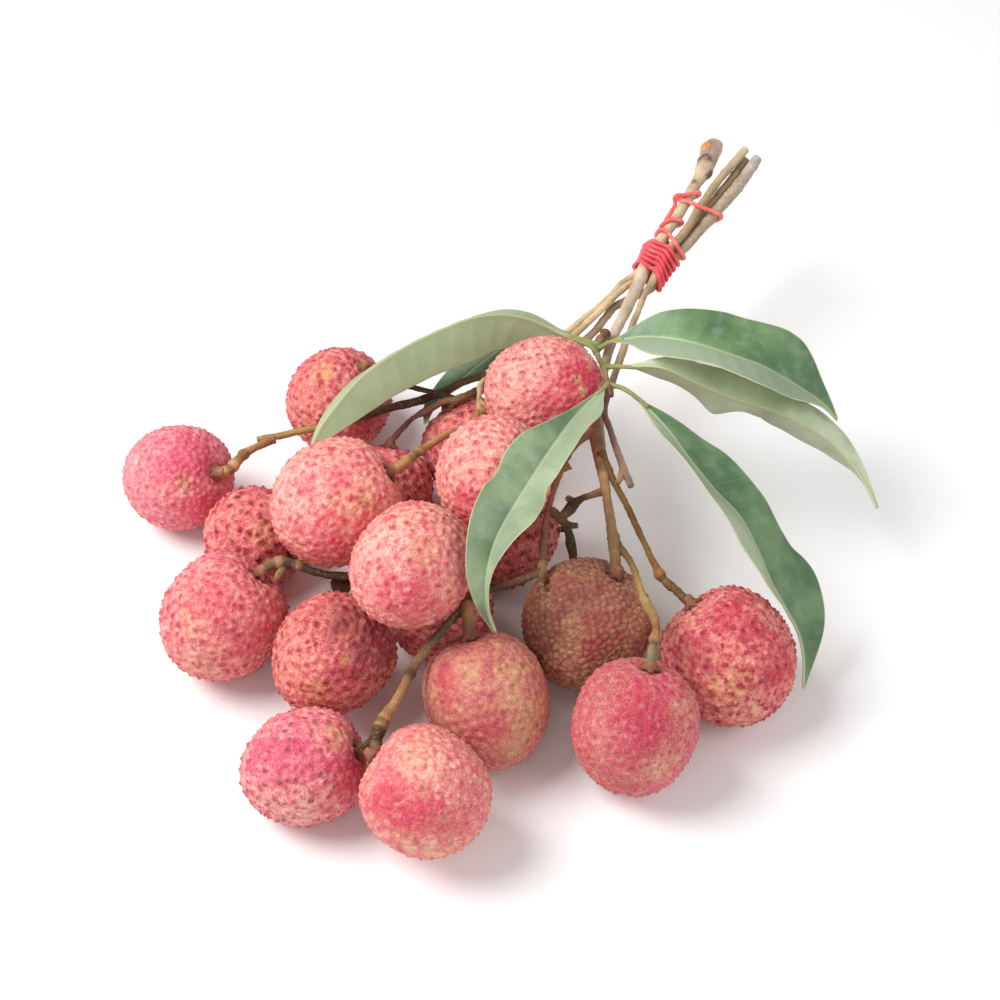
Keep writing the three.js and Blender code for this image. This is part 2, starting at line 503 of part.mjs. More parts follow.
// A closed three.js geometry as a solid that can be joined and cut.
function toSolid(geometry) {
  const bare = new THREE.BufferGeometry();
  bare.setAttribute('position', geometry.getAttribute('position'));
  if (geometry.index) bare.setIndex(geometry.index);
  const merged = mergeVertices(bare, 1e-4);
  return new wasm.Manifold(new wasm.Mesh({
    numProp: 3,
    vertProperties: new Float32Array(merged.attributes.position.array),
    triVerts: new Uint32Array(merged.index.array),
  }));
}

function toGeometry(solid) {
  const mesh = solid.getMesh();
  const geometry = new THREE.BufferGeometry();
  geometry.setAttribute('position', new THREE.Float32BufferAttribute(mesh.vertProperties, 3));
  geometry.setIndex(new THREE.BufferAttribute(mesh.triVerts, 1));
  geometry.computeVertexNormals();
  return geometry;
}

function addMesh(group, name, geometry, color, roughness) {
  const material = new THREE.MeshStandardMaterial({ color, roughness, metalness: 0 });
  const mesh = new THREE.Mesh(geometry, material);
  mesh.name = name;
  group.add(mesh);
}

// A value that changes evenly along a list, at t from 0 to 1.
function along(list, t) {
  const place = t * (list.length - 1);
  const i = Math.min(Math.floor(place), list.length - 2);
  return THREE.MathUtils.lerp(list[i], list[i + 1], place - i);
}

// ---- fruit --------------------------------------------------------------------------------
// The rind is an icosahedron sphere whose 180 faces are each raised to a point. Its outline is
// a blunt heart: square shoulders and a shallow hollow round the stalk, and a rounder tip.
function rindPoint(direction, fruit, height) {
  const c = direction.y;
  const broad = 1 + 0.02 * c;
  const power = c > 0 ? 2 + 0.4 * Math.sqrt(c) : 2;
  const around = Math.sqrt(Math.max(0, 1 - c * c));
  const square = Math.pow(Math.pow(around, power) + Math.pow(Math.abs(c), power), -1 / power);
  const dimple = DIMPLE_DEPTH * Math.exp(-(1 - c) / 0.035);
  const scale = square * (1 - (dimple + BUMP_SUNK - height) / fruit.half);
  return new THREE.Vector3(
    direction.x * fruit.round * broad * scale,
    direction.y * fruit.half * scale,
    direction.z * fruit.round * broad * scale,
  );
}

function fruitGeometry(fruit) {
  const sphere = new THREE.IcosahedronGeometry(1, BUMP_ROUNDS);
  const source = sphere.getAttribute('position');
  const points = [];
  for (let i = 0; i < source.count; i += 3) {
    const corner = [0, 1, 2].map((k) => new THREE.Vector3().fromBufferAttribute(source, i + k).normalize());
    const middle = new THREE.Vector3().add(corner[0]).add(corner[1]).add(corner[2]).normalize();
    const low = corner.map((p) => rindPoint(p, fruit, 0));
    const peak = rindPoint(middle, fruit, BUMP_HEIGHT);
    for (let k = 0; k < 3; k += 1) points.push(low[k], low[(k + 1) % 3], peak);
  }
  const geometry = new THREE.BufferGeometry().setFromPoints(points);
  const turn = new THREE.Quaternion().setFromUnitVectors(
    new THREE.Vector3(0, 1, 0),
    vec(fruit.stalk).normalize(),
  );
  geometry.applyQuaternion(turn);
  geometry.translate(fruit.at[0], fruit.at[1], fruit.at[2]);
  return geometry;
}

// ---- stems --------------------------------------------------------------------------------
// The rings of a limb: a smooth path through its points, cut into even steps, with the radius
// changing from point to point.
function limbRings(limb) {
  const stick = (STICKS[limb.stick] || []).map((p) => [...inBundle(p[0], p[1], p[2]), p[3]]);
  const path = stick.concat(limb.path);
  const curve = new THREE.CatmullRomCurve3(path.map(vec), false, 'centripetal');
  const radii = path.map((p) => p[3]);
  const rings = [];
  for (let i = 0; i <= limb.steps; i += 1) {
    const t = i / limb.steps;
    rings.push({ at: curve.getPoint(t), radius: along(radii, t) });
  }
  return rings;
}

// A round bar bent through rings, each square to the way the path runs there.
function barGeometry(rings, sides) {
  const last = rings.length - 1;
  const bar = new THREE.CylinderGeometry(1, 1, 1, sides, last, false);
  const across = [];
  const over = [];
  let normal = new THREE.Vector3(0.31, 0.17, 0.93);
  for (let i = 0; i <= last; i += 1) {
    const before = rings[Math.max(0, i - 1)].at;
    const after = rings[Math.min(last, i + 1)].at;
    const tangent = new THREE.Vector3().subVectors(after, before).normalize();
    normal = normal.clone().addScaledVector(tangent, -normal.dot(tangent)).normalize();
    across.push(normal);
    over.push(new THREE.Vector3().crossVectors(normal, tangent));
  }
  const position = bar.getAttribute('position');
  const point = new THREE.Vector3();
  for (let i = 0; i < position.count; i += 1) {
    point.fromBufferAttribute(position, i);
    const step = Math.round((point.y + 0.5) * last);
    const ring = rings[step];
    const place = ring.at.clone();
    place.addScaledVector(across[step], point.x * ring.radius);
    place.addScaledVector(over[step], point.z * ring.radius);
    position.setXYZ(i, place.x, place.y, place.z);
  }
  return bar;
}

function joinLimbs(limbs, sides, scale) {
  const solids = limbs.map((limb) => toSolid(barGeometry(limbRings(limb), limb.sides || sides)));
  if (scale) solids.push(toSolid(bladeGeometry(scale)));
  return solids.reduce((whole, solid) => whole.add(solid));
}

// ---- rubber band --------------------------------------------------------------------------
// A stick's [right, up, radius] at a station, or nothing once the band is clear of its cut end.
function stickAt(stick, station) {
  const after = stick.findIndex((p) => p[0] <= station);
  if (after === 0) return station < stick[0][0] + 2 ? stick[0].slice(1) : null;
  if (after < 0) return stick[stick.length - 1].slice(1);
  const [high, low] = [stick[after - 1], stick[after]];
  const part = (station - low[0]) / (high[0] - low[0]);
  return [1, 2, 3].map((k) => THREE.MathUtils.lerp(low[k], high[k], part));
}

// Where the middle of the band runs when stretched round the sticks at this station and angle:
// it bears on the stick that stands out furthest that way.
function bandPlace(station, angle) {
  const out = [Math.cos(angle), Math.sin(angle)];
  let best = null;
  let reach = -Infinity;
  for (const stick of Object.values(STICKS)) {
    const here = stickAt(stick, station);
    if (!here) continue;
    const stands = here[0] * out[0] + here[1] * out[1] + here[2];
    if (stands > reach) {
      reach = stands;
      best = here;
    }
  }
  const lift = best[2] + BAND_CLEAR + BAND_THICK / 2;
  return vec(inBundle(station, best[0] + out[0] * lift, best[1] + out[1] * lift));
}

// Places along half a turn of the band, from one station to another, level at both edges.
function halfTurn(from, to, degrees) {
  const places = [];
  for (let i = 0; i < BAND_STEPS; i += 1) {
    const turned = (Math.PI * i) / BAND_STEPS;
    const station = THREE.MathUtils.lerp(from, to, (1 - Math.cos(turned)) / 2);
    places.push(bandPlace(station, THREE.MathUtils.degToRad(degrees) - turned));
  }
  return places;
}

// A place on the loose end, beside the one stick it touches.
function loosePlace([station, name, degrees, lift]) {
  const [right, up, radius] = stickAt(STICKS[name], station);
  const angle = THREE.MathUtils.degToRad(degrees);
  const out = radius + BAND_CLEAR + BAND_THICK / 2 + lift;
  return vec(inBundle(station, right + out * Math.cos(angle), up + out * Math.sin(angle)));
}

function bandRings() {
  const coil = [];
  for (let turn = 0; turn < BAND_TURNS; turn += 1) {
    const left = BAND_LEFT.station + BAND_LEFT.pitch * turn;
    const right = BAND_RIGHT.station + BAND_RIGHT.pitch * turn;
    coil.push(...halfTurn(left, right, BAND_LEFT.degrees));
    if (turn < BAND_TURNS - 1) {
      coil.push(...halfTurn(right, left + BAND_LEFT.pitch, BAND_RIGHT.degrees));
    }
  }
  const end = coil[coil.length - 1];
  const curve = new THREE.CatmullRomCurve3([end, ...BAND_LOOSE.map(loosePlace)], false, 'centripetal');
  const loose = curve.getPoints(BAND_LOOSE.length * 2).slice(1);
  return [...coil, ...loose].map((at) => ({ at, radius: BAND_THICK / 2 }));
}

// ---- leaf ---------------------------------------------------------------------------------
// Half width of a leaflet at t along its midrib: narrow base and a drawn-out tip.
// The width of one half of a leaflet at t, from its widths at even steps along the midrib.
function halfWidth(widths, t) {
  const place = t * (widths.length - 1);
  const step = Math.min(Math.floor(place), widths.length - 2);
  return THREE.MathUtils.lerp(widths[step], widths[step + 1], place - step);
}

function halfDirection(list, t, tangent) {
  const place = t * (list.length - 1);
  const i = Math.min(Math.floor(place), list.length - 2);
  const direction = vec(list[i]).lerp(vec(list[i + 1]), place - i);
  direction.addScaledVector(tangent, -direction.dot(tangent));
  return direction.normalize();
}

// A blade is a closed skin: the same grid of points above and below, split into triangles alike
// on both faces, and a rim between them.
function bladeGeometry(leaflet) {
  const curve = new THREE.CatmullRomCurve3(leaflet.rib.map(vec), false, 'centripetal');
  const columns = BLADE_CELLS + 1;
  const upper = [];
  const lower = [];
  const steps = leaflet.steps || BLADE_STEPS;
  for (let i = 0; i <= steps; i += 1) {
    const t = i / steps;
    const rib = curve.getPointAt(t);
    const tangent = curve.getTangentAt(t);
    const left = halfDirection(leaflet.left, t, tangent);
    const right = halfDirection(leaflet.right, t, tangent);
    const up = new THREE.Vector3().crossVectors(tangent, left);
    up.sub(new THREE.Vector3().crossVectors(tangent, right)).normalize();
    const wideLeft = halfWidth(leaflet.wideLeft, t);
    const wideRight = halfWidth(leaflet.wideRight, t);
    for (let j = 0; j < columns; j += 1) {
      const s = (j / BLADE_CELLS) * 2 - 1;
      const side = s < 0 ? left : right;
      const out = Math.abs(s);
      const normal = new THREE.Vector3().crossVectors(tangent, side);
      if (s > 0) normal.negate();
      if (s === 0) normal.copy(up);
      const phase = leaflet.phase + (s < 0 ? 0 : 1.3);
      const swing = Math.sin(2 * Math.PI * leaflet.waves * t + phase);
      const wide = s < 0 ? wideLeft : wideRight;
      const ripple = leaflet.wave * out * out * swing;
      const bend = leaflet.curl * out * out * Math.sin(Math.PI * t);
      const spot = rib.clone().addScaledVector(side, out * wide);
      spot.addScaledVector(normal, (ripple + bend) * Math.min(1, wide / 8));
      const thick = THREE.MathUtils.lerp(BLADE_THICK, EDGE_THICK, out) / 2;
      upper.push(spot.clone().addScaledVector(normal, thick));
      lower.push(spot.clone().addScaledVector(normal, -thick));
    }
  }
  const points = upper.concat(lower);
  const under = upper.length;
  const faces = [];
  const quad = (a, b, c, d) => faces.push(a, b, c, a, c, d);
  for (let i = 0; i < steps; i += 1) {
    for (let j = 0; j < BLADE_CELLS; j += 1) {
      const a = i * columns + j;
      const b = a + 1;
      const c = b + columns;
      const d = a + columns;
      quad(a, b, c, d);
      faces.push(under + a, under + c, under + b, under + a, under + d, under + c);
    }
    const first = i * columns;
    quad(first, first + columns, under + first + columns, under + first);
    const last = first + BLADE_CELLS;
    quad(last + columns, last, under + last, under + last + columns);
  }
  for (let j = 0; j < BLADE_CELLS; j += 1) {
    quad(j + 1, j, under + j, under + j + 1);
    const end = steps * columns + j;
    quad(end, end + 1, under + end + 1, under + end);
  }
  const geometry = new THREE.BufferGeometry().setFromPoints(points);
  geometry.setIndex(faces);
  return geometry;
}

// ---- build --------------------------------------------------------------------------------
const bunch = new THREE.Group();
const floor = new THREE.BoxGeometry(400, 400, 20).translate(0, 0, -10 - LAYOUT_TO_PART[2]);
const floorSolid = toSolid(floor);

for (const fruit of FRUITS) {
  const whole = toSolid(fruitGeometry(fruit));
  addMesh(bunch, fruit.name, toGeometry(whole.subtract(floorSolid)), RIND_OF[fruit.name], 0.62);
}
for (const stem of STEMS) {
  addMesh(bunch, stem.name, toGeometry(joinLimbs(stem.limbs, stem.sides, stem.scale)), stem.color, 0.8);
}
let leaf = joinLimbs(LEAF_STALKS, 6);
for (const leaflet of LEAFLETS) {
  const blade = toSolid(bladeGeometry(leaflet));
  leaf = leaf.add(blade);
}
addMesh(bunch, 'leaf', toGeometry(leaf), COLORS.leaf, 0.5);
addMesh(bunch, 'rubber_band', barGeometry(bandRings(), BAND_SIDES), COLORS.band, 0.45);

bunch.position.set(...LAYOUT_TO_PART);

export default bunch;
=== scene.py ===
"""A bunch of lychees on a pale floor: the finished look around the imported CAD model.

Nineteen lychees, the five woody stems that carry them, one leaf with six leaflets and a rubber
band replace the plain CAD solids. The tables repeat the CAD source's named values in millimetres.
Everything is moved by LAYOUT_TO_PART and turned into metres in one place, `to_part`.
"""
import itertools
import math

import bmesh
import bpy
import numpy as np
from mathutils import Matrix, Vector


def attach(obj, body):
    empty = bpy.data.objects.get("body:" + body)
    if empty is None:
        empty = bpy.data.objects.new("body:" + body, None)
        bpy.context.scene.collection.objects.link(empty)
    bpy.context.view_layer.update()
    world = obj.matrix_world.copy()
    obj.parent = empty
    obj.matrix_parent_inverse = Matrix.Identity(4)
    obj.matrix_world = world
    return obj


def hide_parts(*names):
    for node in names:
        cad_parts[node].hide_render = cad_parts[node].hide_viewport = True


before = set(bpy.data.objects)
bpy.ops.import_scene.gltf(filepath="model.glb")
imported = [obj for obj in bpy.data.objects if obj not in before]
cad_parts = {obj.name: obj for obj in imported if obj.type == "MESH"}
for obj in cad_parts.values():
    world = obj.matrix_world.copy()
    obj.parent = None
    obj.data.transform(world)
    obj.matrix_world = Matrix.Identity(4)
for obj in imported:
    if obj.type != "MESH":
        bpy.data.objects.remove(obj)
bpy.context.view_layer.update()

MM = 0.001
LAYOUT_TO_PART = np.array([1.5, -4.8, -1.0])

# ---- camera, as the bunch is seen --------------------------------------------------------
CAMERA_LIFT = math.radians(48)  # it looks down this far below level
CAMERA_DISTANCE = 631.0
CAMERA_TARGET = np.array([0, 0, 25.0])
CAMERA_NEAREST = 0.01  # m
LENS = 79.7
SENSOR_WIDTH = 36
SEEN_RIGHT = np.array([1.0, 0, 0])
SEEN_UP = np.array([0, math.sin(CAMERA_LIFT), math.cos(CAMERA_LIFT)])
SEEN_NEAR = np.array([0, -math.cos(CAMERA_LIFT), math.sin(CAMERA_LIFT)])

# ---- fruit -------------------------------------------------------------------------------
SPHERE_CUTS = 42  # cuts along each edge of the icosahedron that every rind starts from
BUMP_SUNK = 0.6  # the hollows between bumps are this far inside the fruit's measured radius
DIMPLE_DEPTH = 1.1  # the hollow round the stalk
DIMPLE_WIDE = 0.035  # as 1 - cosine of the angle from the stalk
BUMP_SPACING = 2.6
BUMP_JITTER = 0.24  # of the distance between bumps
BUMP_TALL = 0.6
BUMP_REACH = 0.58  # how far a bump's foot, its sharp point and a crease reach, in spacings
POINT_REACH = 0.17
CREASE_REACH = 0.16
PLATE_TALL = 0.16  # the low pebble that each bump stands on
PLATE_EDGE = 0.55
CREASE_DEEP = 0.12
SWELL_WIDE = 13  # the soft unevenness of the whole fruit
SWELL_TALL = 1.1
CLOUD_SIZES = (9, 3.6, 1.3, 8, 2.8, 0.8)  # of a rind's mottling, twice from broad to fine
VEIL_SOFT = 0.16
GRAIN_SCALE, GRIT_SCALE, BLOTCH_SCALE, NET_SCALE = 2900, 1700, 560, 1050  # of noise, per m
CRIMSON_GREEN = 0.09  # a patch with less green light than this is flushed crimson

# One fruit: where its centre is, which way its stalk end points, its radius at the equator and
# its half length from stalk end to tip, both to the tips of the bumps.
FRUITS = [dict(zip(("at", "stalk", "round", "half"), row)) for row in [  # lychee_01 to lychee_19
    ((-94.4, 17.4, 16), (0.79, -0.36, 0.5), 15.8, 16.6),
    ((-49, 48.5, 16), (0.55, 0.06, 0.83), 15.8, 16.2),
    ((-70.6, -5, 15), (0.86, -0.5, 0.1), 14.5, 15),
    ((-45.5, -15, 40), (0.86, 0.3, 0.41), 17.6, 18.4),
    ((-76.6, -38, 18), (0.62, 0.38, 0.68), 17.5, 18),
    ((-45.5, -53.5, 21.5), (0.68, 0.7, 0.22), 16.2, 17.2),
    ((-51.8, -86, 15.5), (0.94, 0.12, 0.32), 15.6, 16.8),
    ((-19, -98, 21.5), (-0.8, 0.48, 0.29), 16.8, 17.2),
    ((-23.5, -43.5, 47), (0.48, 0.87, -0.1), 16.2, 18.2),
    ((-3.5, -66.5, 18), (-0.25, 0.65, 0.72), 17, 18.9),
    ((23.5, -40, 18), (0.45, 0.33, 0.83), 17.9, 18.4),
    ((35.5, -77, 20.5), (0.2, 0.49, 0.85), 17.2, 18.6),
    ((62.5, -52, 18.5), (-0.58, 0.53, 0.62), 18.2, 19),
    ((12.7, 20, 48), (-0.94, -0.05, -0.34), 16.6, 17.3),
    ((-2, -12.5, 48), (0.1, 0.99, -0.1), 16.2, 17),
    ((-34.5, 10, 15), (0.15, 0.73, 0.66), 15.2, 15.6),
    ((-7.5, 28, 15.5), (-0.52, 0.48, 0.71), 15.2, 15.8),
    ((1, -5, 15.5), (0.57, 0.61, 0.55), 15.4, 15.8),
    ((-17.5, -31.5, 15), (0.62, -0.31, 0.72), 15, 15.2),
]]

# How each rind looks. `ground` is the rind between bumps, `flush` the cloudy red over it, `ochre`
# the greenish tan that shows through, each with how much of it there is; `tips` colours the bumps
# by shares and `apex` their very points; `light` is the pale grain and `pale` how much there is;
# `halo` is how strong the spot round each bump is, `mottle` and `cream` the small red and pale
# blotches. `spacing` and `tall` are for the bumps, `plate` and `groove` for the plates they stand
# on, and two more keys give the strength and colour of the painted shade in the creases between
# the plates. Patches are (right, up, size, colour, strength) as seen from the camera, in parts of
# the radius, and bulges are the same with a height in mm. Some patches are painted shade and some
# are painted highlights; each is marked where it stands.
PALE = dict(
    ground="ec9282", flush=("e0586c", 0.45), ochre=("d2a86e", 0.3),
    tips=[("d03452", 0.62), ("c2505a", 0.25), ("b8705a", 0.13)], halo=0.66, mottle=0.5, cream=0.35,
    apex=("8c3a3c", 0.4), light="ffd4c4", pale=0.4,
)
BLUSH = dict(
    ground="e47c80", flush=("d8406a", 0.5), ochre=("cc9c66", 0.22),
    tips=[("c42852", 0.65), ("b23a50", 0.2), ("a8605a", 0.15)], halo=0.66, mottle=0.5, cream=0.35,
    apex=("7c2c38", 0.4), light="ffc8bc", pale=0.4,
)
DEEP = dict(
    ground="dc7470", flush=("c43054", 0.55), ochre=("c09058", 0.25),
    tips=[("ac1c40", 0.7), ("98283c", 0.2), ("984a3c", 0.1)], halo=0.8, mottle=0.55, cream=0.3,
    apex=("5c2426", 0.6), light="fcc0a8", pale=0.36,
)
TAN = dict(
    ground="c08a68", flush=("b85058", 0.4), ochre=("9c8450", 0.35),
    tips=[("a8605a", 0.6), ("8c6c40", 0.4)], halo=0.3, mottle=0.3, cream=0.15, apex=("6a4430", 0.3),
    light="d9b28a", pale=0.3,
)
LOOKS = {
    1: dict(BLUSH, ground="e67a88", halo=0.4, mottle=0.4, spacing=2.05, tall=0.5, patches=[
        (0.35, 0.3, 0.8, "d02a60", 0.7), (0.4, -0.55, 0.5, "d04060", 0.6),
        (0.25, -0.12, 0.22, "a88244", 0.85), (-0.2, -0.2, 0.4, "ee8a84", 0.4),
        (-0.75, 0.2, 0.3, "f6b0a0", 0.5),
    ]),
    2: dict(DEEP, ground="e07c76", tips=[("c0284a", 0.7), ("a4344a", 0.3)], halo=0.65,
        apex=("6c2c30", 0.45),
    patches=[
        (-0.25, 0.45, 0.3, "d8a060", 0.8), (-0.5, -0.2, 0.4, "ee8c7c", 0.6),
        (0.5, -0.2, 0.6, "c02a48", 0.6), (-0.55, -0.5, 0.25, "c48c50", 0.6),
    ]),
    3: dict(DEEP, spacing=3, tall=0.62,
        patches=[(-0.1, 0.2, 0.6, "e4706e", 0.5), (0.3, 0.1, 0.35, "b08444", 0.5)]),
    4: dict(PALE, patches=[
        # the first patch, pale at the upper left, is a painted highlight where the key light falls
        (-0.45, 0.35, 0.6, "f2aca4", 0.6), (0.5, 0.05, 0.22, "c08c48", 0.85),
        (0.3, 0, 0.3, "d8a468", 0.6), (0.1, -0.6, 0.5, "d83c54", 0.6),
        (-0.3, -0.55, 0.4, "e0586a", 0.5), (0.1, 0.4, 0.3, "dc3a5c", 0.5),
        (-0.35, 0.3, 0.22, "e04060", 0.6), (-0.05, -0.35, 0.3, "d83a58", 0.55),
    ]),
    5: dict(BLUSH, ground="e07c76", patches=[
        (-0.35, 0, 0.3, "dca870", 0.7), (0, 0.3, 0.5, "d03c56", 0.55), (-0.3, -0.7, 0.4, "dca880", 0.6),
        (0.6, -0.2, 0.5, "c43c54", 0.5),
    ], bulges=[(0.75, -0.6, 0.45, -1.2), (-0.6, -0.4, 0.6, 0.5)]),
    6: dict(DEEP, ground="d86c66", tips=[("a82440", 0.6), ("8c3430", 0.4)], halo=0.7, tall=0.62,
    patches=[
        # the first and the last patch, dark brown at the upper right and on the right, are painted shade
        # where lychee_09 lies over this fruit
        (0.35, 0.6, 0.6, "6c3828", 0.8), (-0.1, -0.5, 0.28, "b88844", 0.8),
        (0.3, -0.35, 0.45, "c02a4c", 0.6), (-0.5, -0.1, 0.5, "ec8478", 0.6),
        (0.35, 0, 0.15, "c89858", 0.7), (0.8, 0.1, 0.6, "6c2028", 0.8),
    ]),
    7: dict(BLUSH, tips=[("c02c58", 0.5), ("94384c", 0.25), ("905a54", 0.25)], apex=("5a4038", 0.6),
    patches=[
        (-0.2, 0.3, 0.75, "cc2a62", 0.6), (0.8, -0.1, 0.5, "c42852", 0.7),
        (0.55, 0.6, 0.28, "c8a05c", 0.85), (0.1, -0.65, 0.55, "e6b49c", 0.75),
        (-0.5, -0.5, 0.4, "e8a494", 0.5), (0.4, -0.6, 0.18, "cc3458", 0.6),
    ], bulges=[(0.85, 0.1, 0.5, -0.9)]),
    8: dict(PALE, ground="e07c6e", tips=[("d4506a", 0.5), ("c05a58", 0.25), ("a88450", 0.25)],
        halo=0.55, mottle=0.6, tall=0.55,
    patches=[
        (-0.55, 0, 0.55, "cc1c46", 0.85), (-0.1, -0.25, 0.5, "ca2244", 0.8),
        (0, 0.6, 0.5, "e8b088", 0.6), (0.2, -0.75, 0.45, "dcb080", 0.7),
        (0.35, -0.45, 0.4, "cc3450", 0.6), (-0.2, -0.75, 0.3, "d6a878", 0.6),
    ], bulges=[(0.75, 0.75, 0.5, -0.3), (-0.75, 0.6, 0.4, -0.2)]),
    9: dict(PALE, ground="e88a7c", patches=[
        # the first patch, pale at the upper left, is a painted highlight where the key light falls
        (-0.45, 0.4, 0.6, "f2b0a4", 0.6), (0.25, 0.3, 0.3, "d4a068", 0.55),
        (-0.3, -0.35, 0.5, "e04c68", 0.5), (0.2, -0.6, 0.5, "d43850", 0.6),
        (-0.1, 0.85, 0.3, "dca478", 0.4),
    ]),
    10: dict(BLUSH, ground="c4706a", flush=("b43c50", 0.5), ochre=("c49c68", 0.5),
        tips=[("b8405a", 0.5), ("c07064", 0.3), ("b08850", 0.2)], halo=0.4, cream=0.25, light="e4bc90",
        tall=0.35,
    patches=[
        (-0.6, 0.4, 0.3, "c02c4a", 0.8), (-0.6, 0.1, 0.25, "c4344e", 0.6),
        (0, -0.2, 0.5, "b83c50", 0.55), (0.4, 0.2, 0.3, "ccaa78", 0.5),
        (0.65, -0.2, 0.4, "bc9c64", 0.6), (-0.3, 0.55, 0.25, "ccaa78", 0.5),
        (0.5, -0.55, 0.35, "b88c58", 0.5), (-0.75, -0.4, 0.5, "8c4a44", 0.4),
    ]),
    11: dict(TAN, ground="c48e6c", tips=[("a83c48", 0.35), ("a8605a", 0.35), ("8c6c40", 0.3)],
        mottle=0.5, cream=0.3, spacing=1.95, tall=0.22, plate=0.42, groove=0.28, crease_shade=0.5,
        crease_shade_colour="5c3a28",
    patches=[
        (0.2, 0.1, 0.34, "a82038", 0.6), (0.4, 0.5, 0.35, "b04450", 0.5),
        (0.6, -0.35, 0.4, "a85250", 0.35), (-0.05, 0.4, 0.35, "b05454", 0.5),
        # the last patch, dark brown on the left, is painted shade
        (0.1, -0.3, 0.25, "a83444", 0.6), (-0.75, -0.1, 0.6, "6c4a3c", 0.6),
    ]),
    12: dict(BLUSH, ground="c06260", halo=0.45, cream=0.22, pale=0.32, tall=0.5, patches=[
        (0, 0.4, 0.75, "b42240", 0.75), (0.35, -0.5, 0.4, "cca078", 0.8),
        (0.65, 0.3, 0.28, "c88c64", 0.7), (-0.15, -0.15, 0.6, "ae2040", 0.65),
        (-0.5, -0.2, 0.45, "c07068", 0.5), (0.2, 0.75, 0.4, "c84a64", 0.4),
        # the last patch, dark brown at the upper left, is painted shade
        (-0.3, -0.75, 0.5, "b85454", 0.5), (-0.55, 0.55, 0.5, "a85848", 0.75),
    ], bulges=[(-0.65, -0.7, 0.5, -0.8), (0.75, -0.6, 0.5, -0.7), (0.7, 0.5, 0.4, 0.5)]),
    13: dict(DEEP, ground="e0847c", ochre=("cc9c60", 0.35),
        tips=[("b41c42", 0.65), ("a02c3c", 0.25), ("98503c", 0.1)], mottle=0.7, tall=0.75, spacing=2.35,
    patches=[
        (-0.05, -0.35, 0.4, "d0a068", 0.8), (0.65, -0.05, 0.6, "d02450", 0.75),
        (0.15, 0.55, 0.5, "ce2648", 0.65), (0.2, -0.75, 0.35, "d8a080", 0.6),
        # the last patch, dark crimson on the left, is partly the rind's red and partly painted shade
        # from the fruit beside it
        (-0.6, 0.1, 0.45, "9c1a38", 0.55),
    ]),
    14: dict(PALE, tips=[("b8384e", 0.75), ("94483c", 0.25)], halo=0.5, apex=("6c3030", 0.5),
        spacing=2.1,
    patches=[
        # the pale patches at the upper left and at the top are painted highlights where the key light
        # falls
        (-0.5, 0.3, 0.6, "f4a490", 0.6), (0.6, 0.25, 0.6, "e02252", 0.95),
        (0.25, -0.2, 0.5, "d02a4a", 0.75), (0.5, 0.2, 0.1, "c89044", 0.9), (0.6, 0, 0.1, "c89044", 0.9),
        (0, 0.6, 0.4, "f0a08c", 0.5),
    ]),
    # on lychee_15 the pale patch near the top is a painted highlight
    15: dict(PALE, patches=[(-0.3, -0.6, 0.6, "d8405e", 0.7), (-0.2, 0.5, 0.6, "f4a896", 0.5)]),
    16: DEEP,
    17: DEEP,
    18: DEEP,
    19: DEEP,
}

# ---- stems -------------------------------------------------------------------------------
# The cut ends of the five stems lie side by side. Stations along the bundle are measured from
# the middle of the tight part of the rubber band, toward the cut ends; `right` is level and
# `up` stands on the other two. Each stick has [station, right, up, radius] entries.
BUNDLE_AT = np.array([46.9, 79.4, 44])
BUNDLE_ALONG = np.array([0.48, 0.855, 0.197]) / np.linalg.norm([0.48, 0.855, 0.197])
BUNDLE_RIGHT = np.array([0.872, -0.489, 0]) / np.linalg.norm([0.872, -0.489, 0])
BUNDLE_UP = np.cross(BUNDLE_RIGHT, BUNDLE_ALONG)
STICKS = {
    "main": [
        [49.6, -3.9, 0.3, 2.5], [47.5, -3.6, 0.5, 3], [45, -3.3, 0.7, 2.95], [41.5, -2.7, 0.9, 2.8],
        [37.8, -2.2, 1, 2.8], [35.5, -2, 1.1, 2], [32, -1.9, 1.2, 1.85], [24, -1.4, 1.3, 1.7],
        [12, -1.6, 1.2, 1.7], [0, -1.8, 1.2, 1.8], [-5, -1.5, 1.1, 1.9],
    ],
    "left": [
        [7.2, -4.8, -1.4, 1.2], [3, -4.3, -2.4, 1.25], [0, -3.8, -2.9, 1.25], [-5, -4.6, -2.6, 1.2],
    ],
    "middle": [
        [50.5, 6.3, -3.4, 1.2], [40, 5.7, -2.5, 1.25], [24, 3.9, -2.2, 1.2], [12, 2.6, -2.6, 1.1],
        [0, -0.1, -2.5, 1.1], [-5, -0.8, -2.8, 1.05],
    ],
    "inner": [
        [51.6, 9.6, -2.4, 1.7], [40, 9.4, -1.8, 1.8], [33, 8.6, -1.6, 1.85], [24, 7.2, -1.3, 1.65],
        [12, 5.4, -1.2, 1.45], [0, 3.3, -1.6, 1.35], [-5, 2.8, -2.6, 1.3],
    ],
    "bare": [
        [52, 5.5, -0.4, 1.3], [40, 4, 0.3, 1.3], [32, 3.4, 0.8, 1.25], [28, 3.45, 1, 1.25],
        [24, 3.2, 1.2, 1.25], [16, 3.5, 1.4, 1.25], [12, 3.1, 1.5, 1.25], [0, 1.8, 1.8, 1.25],
        [-5, 2.6, 0.8, 1.25],
    ],
}

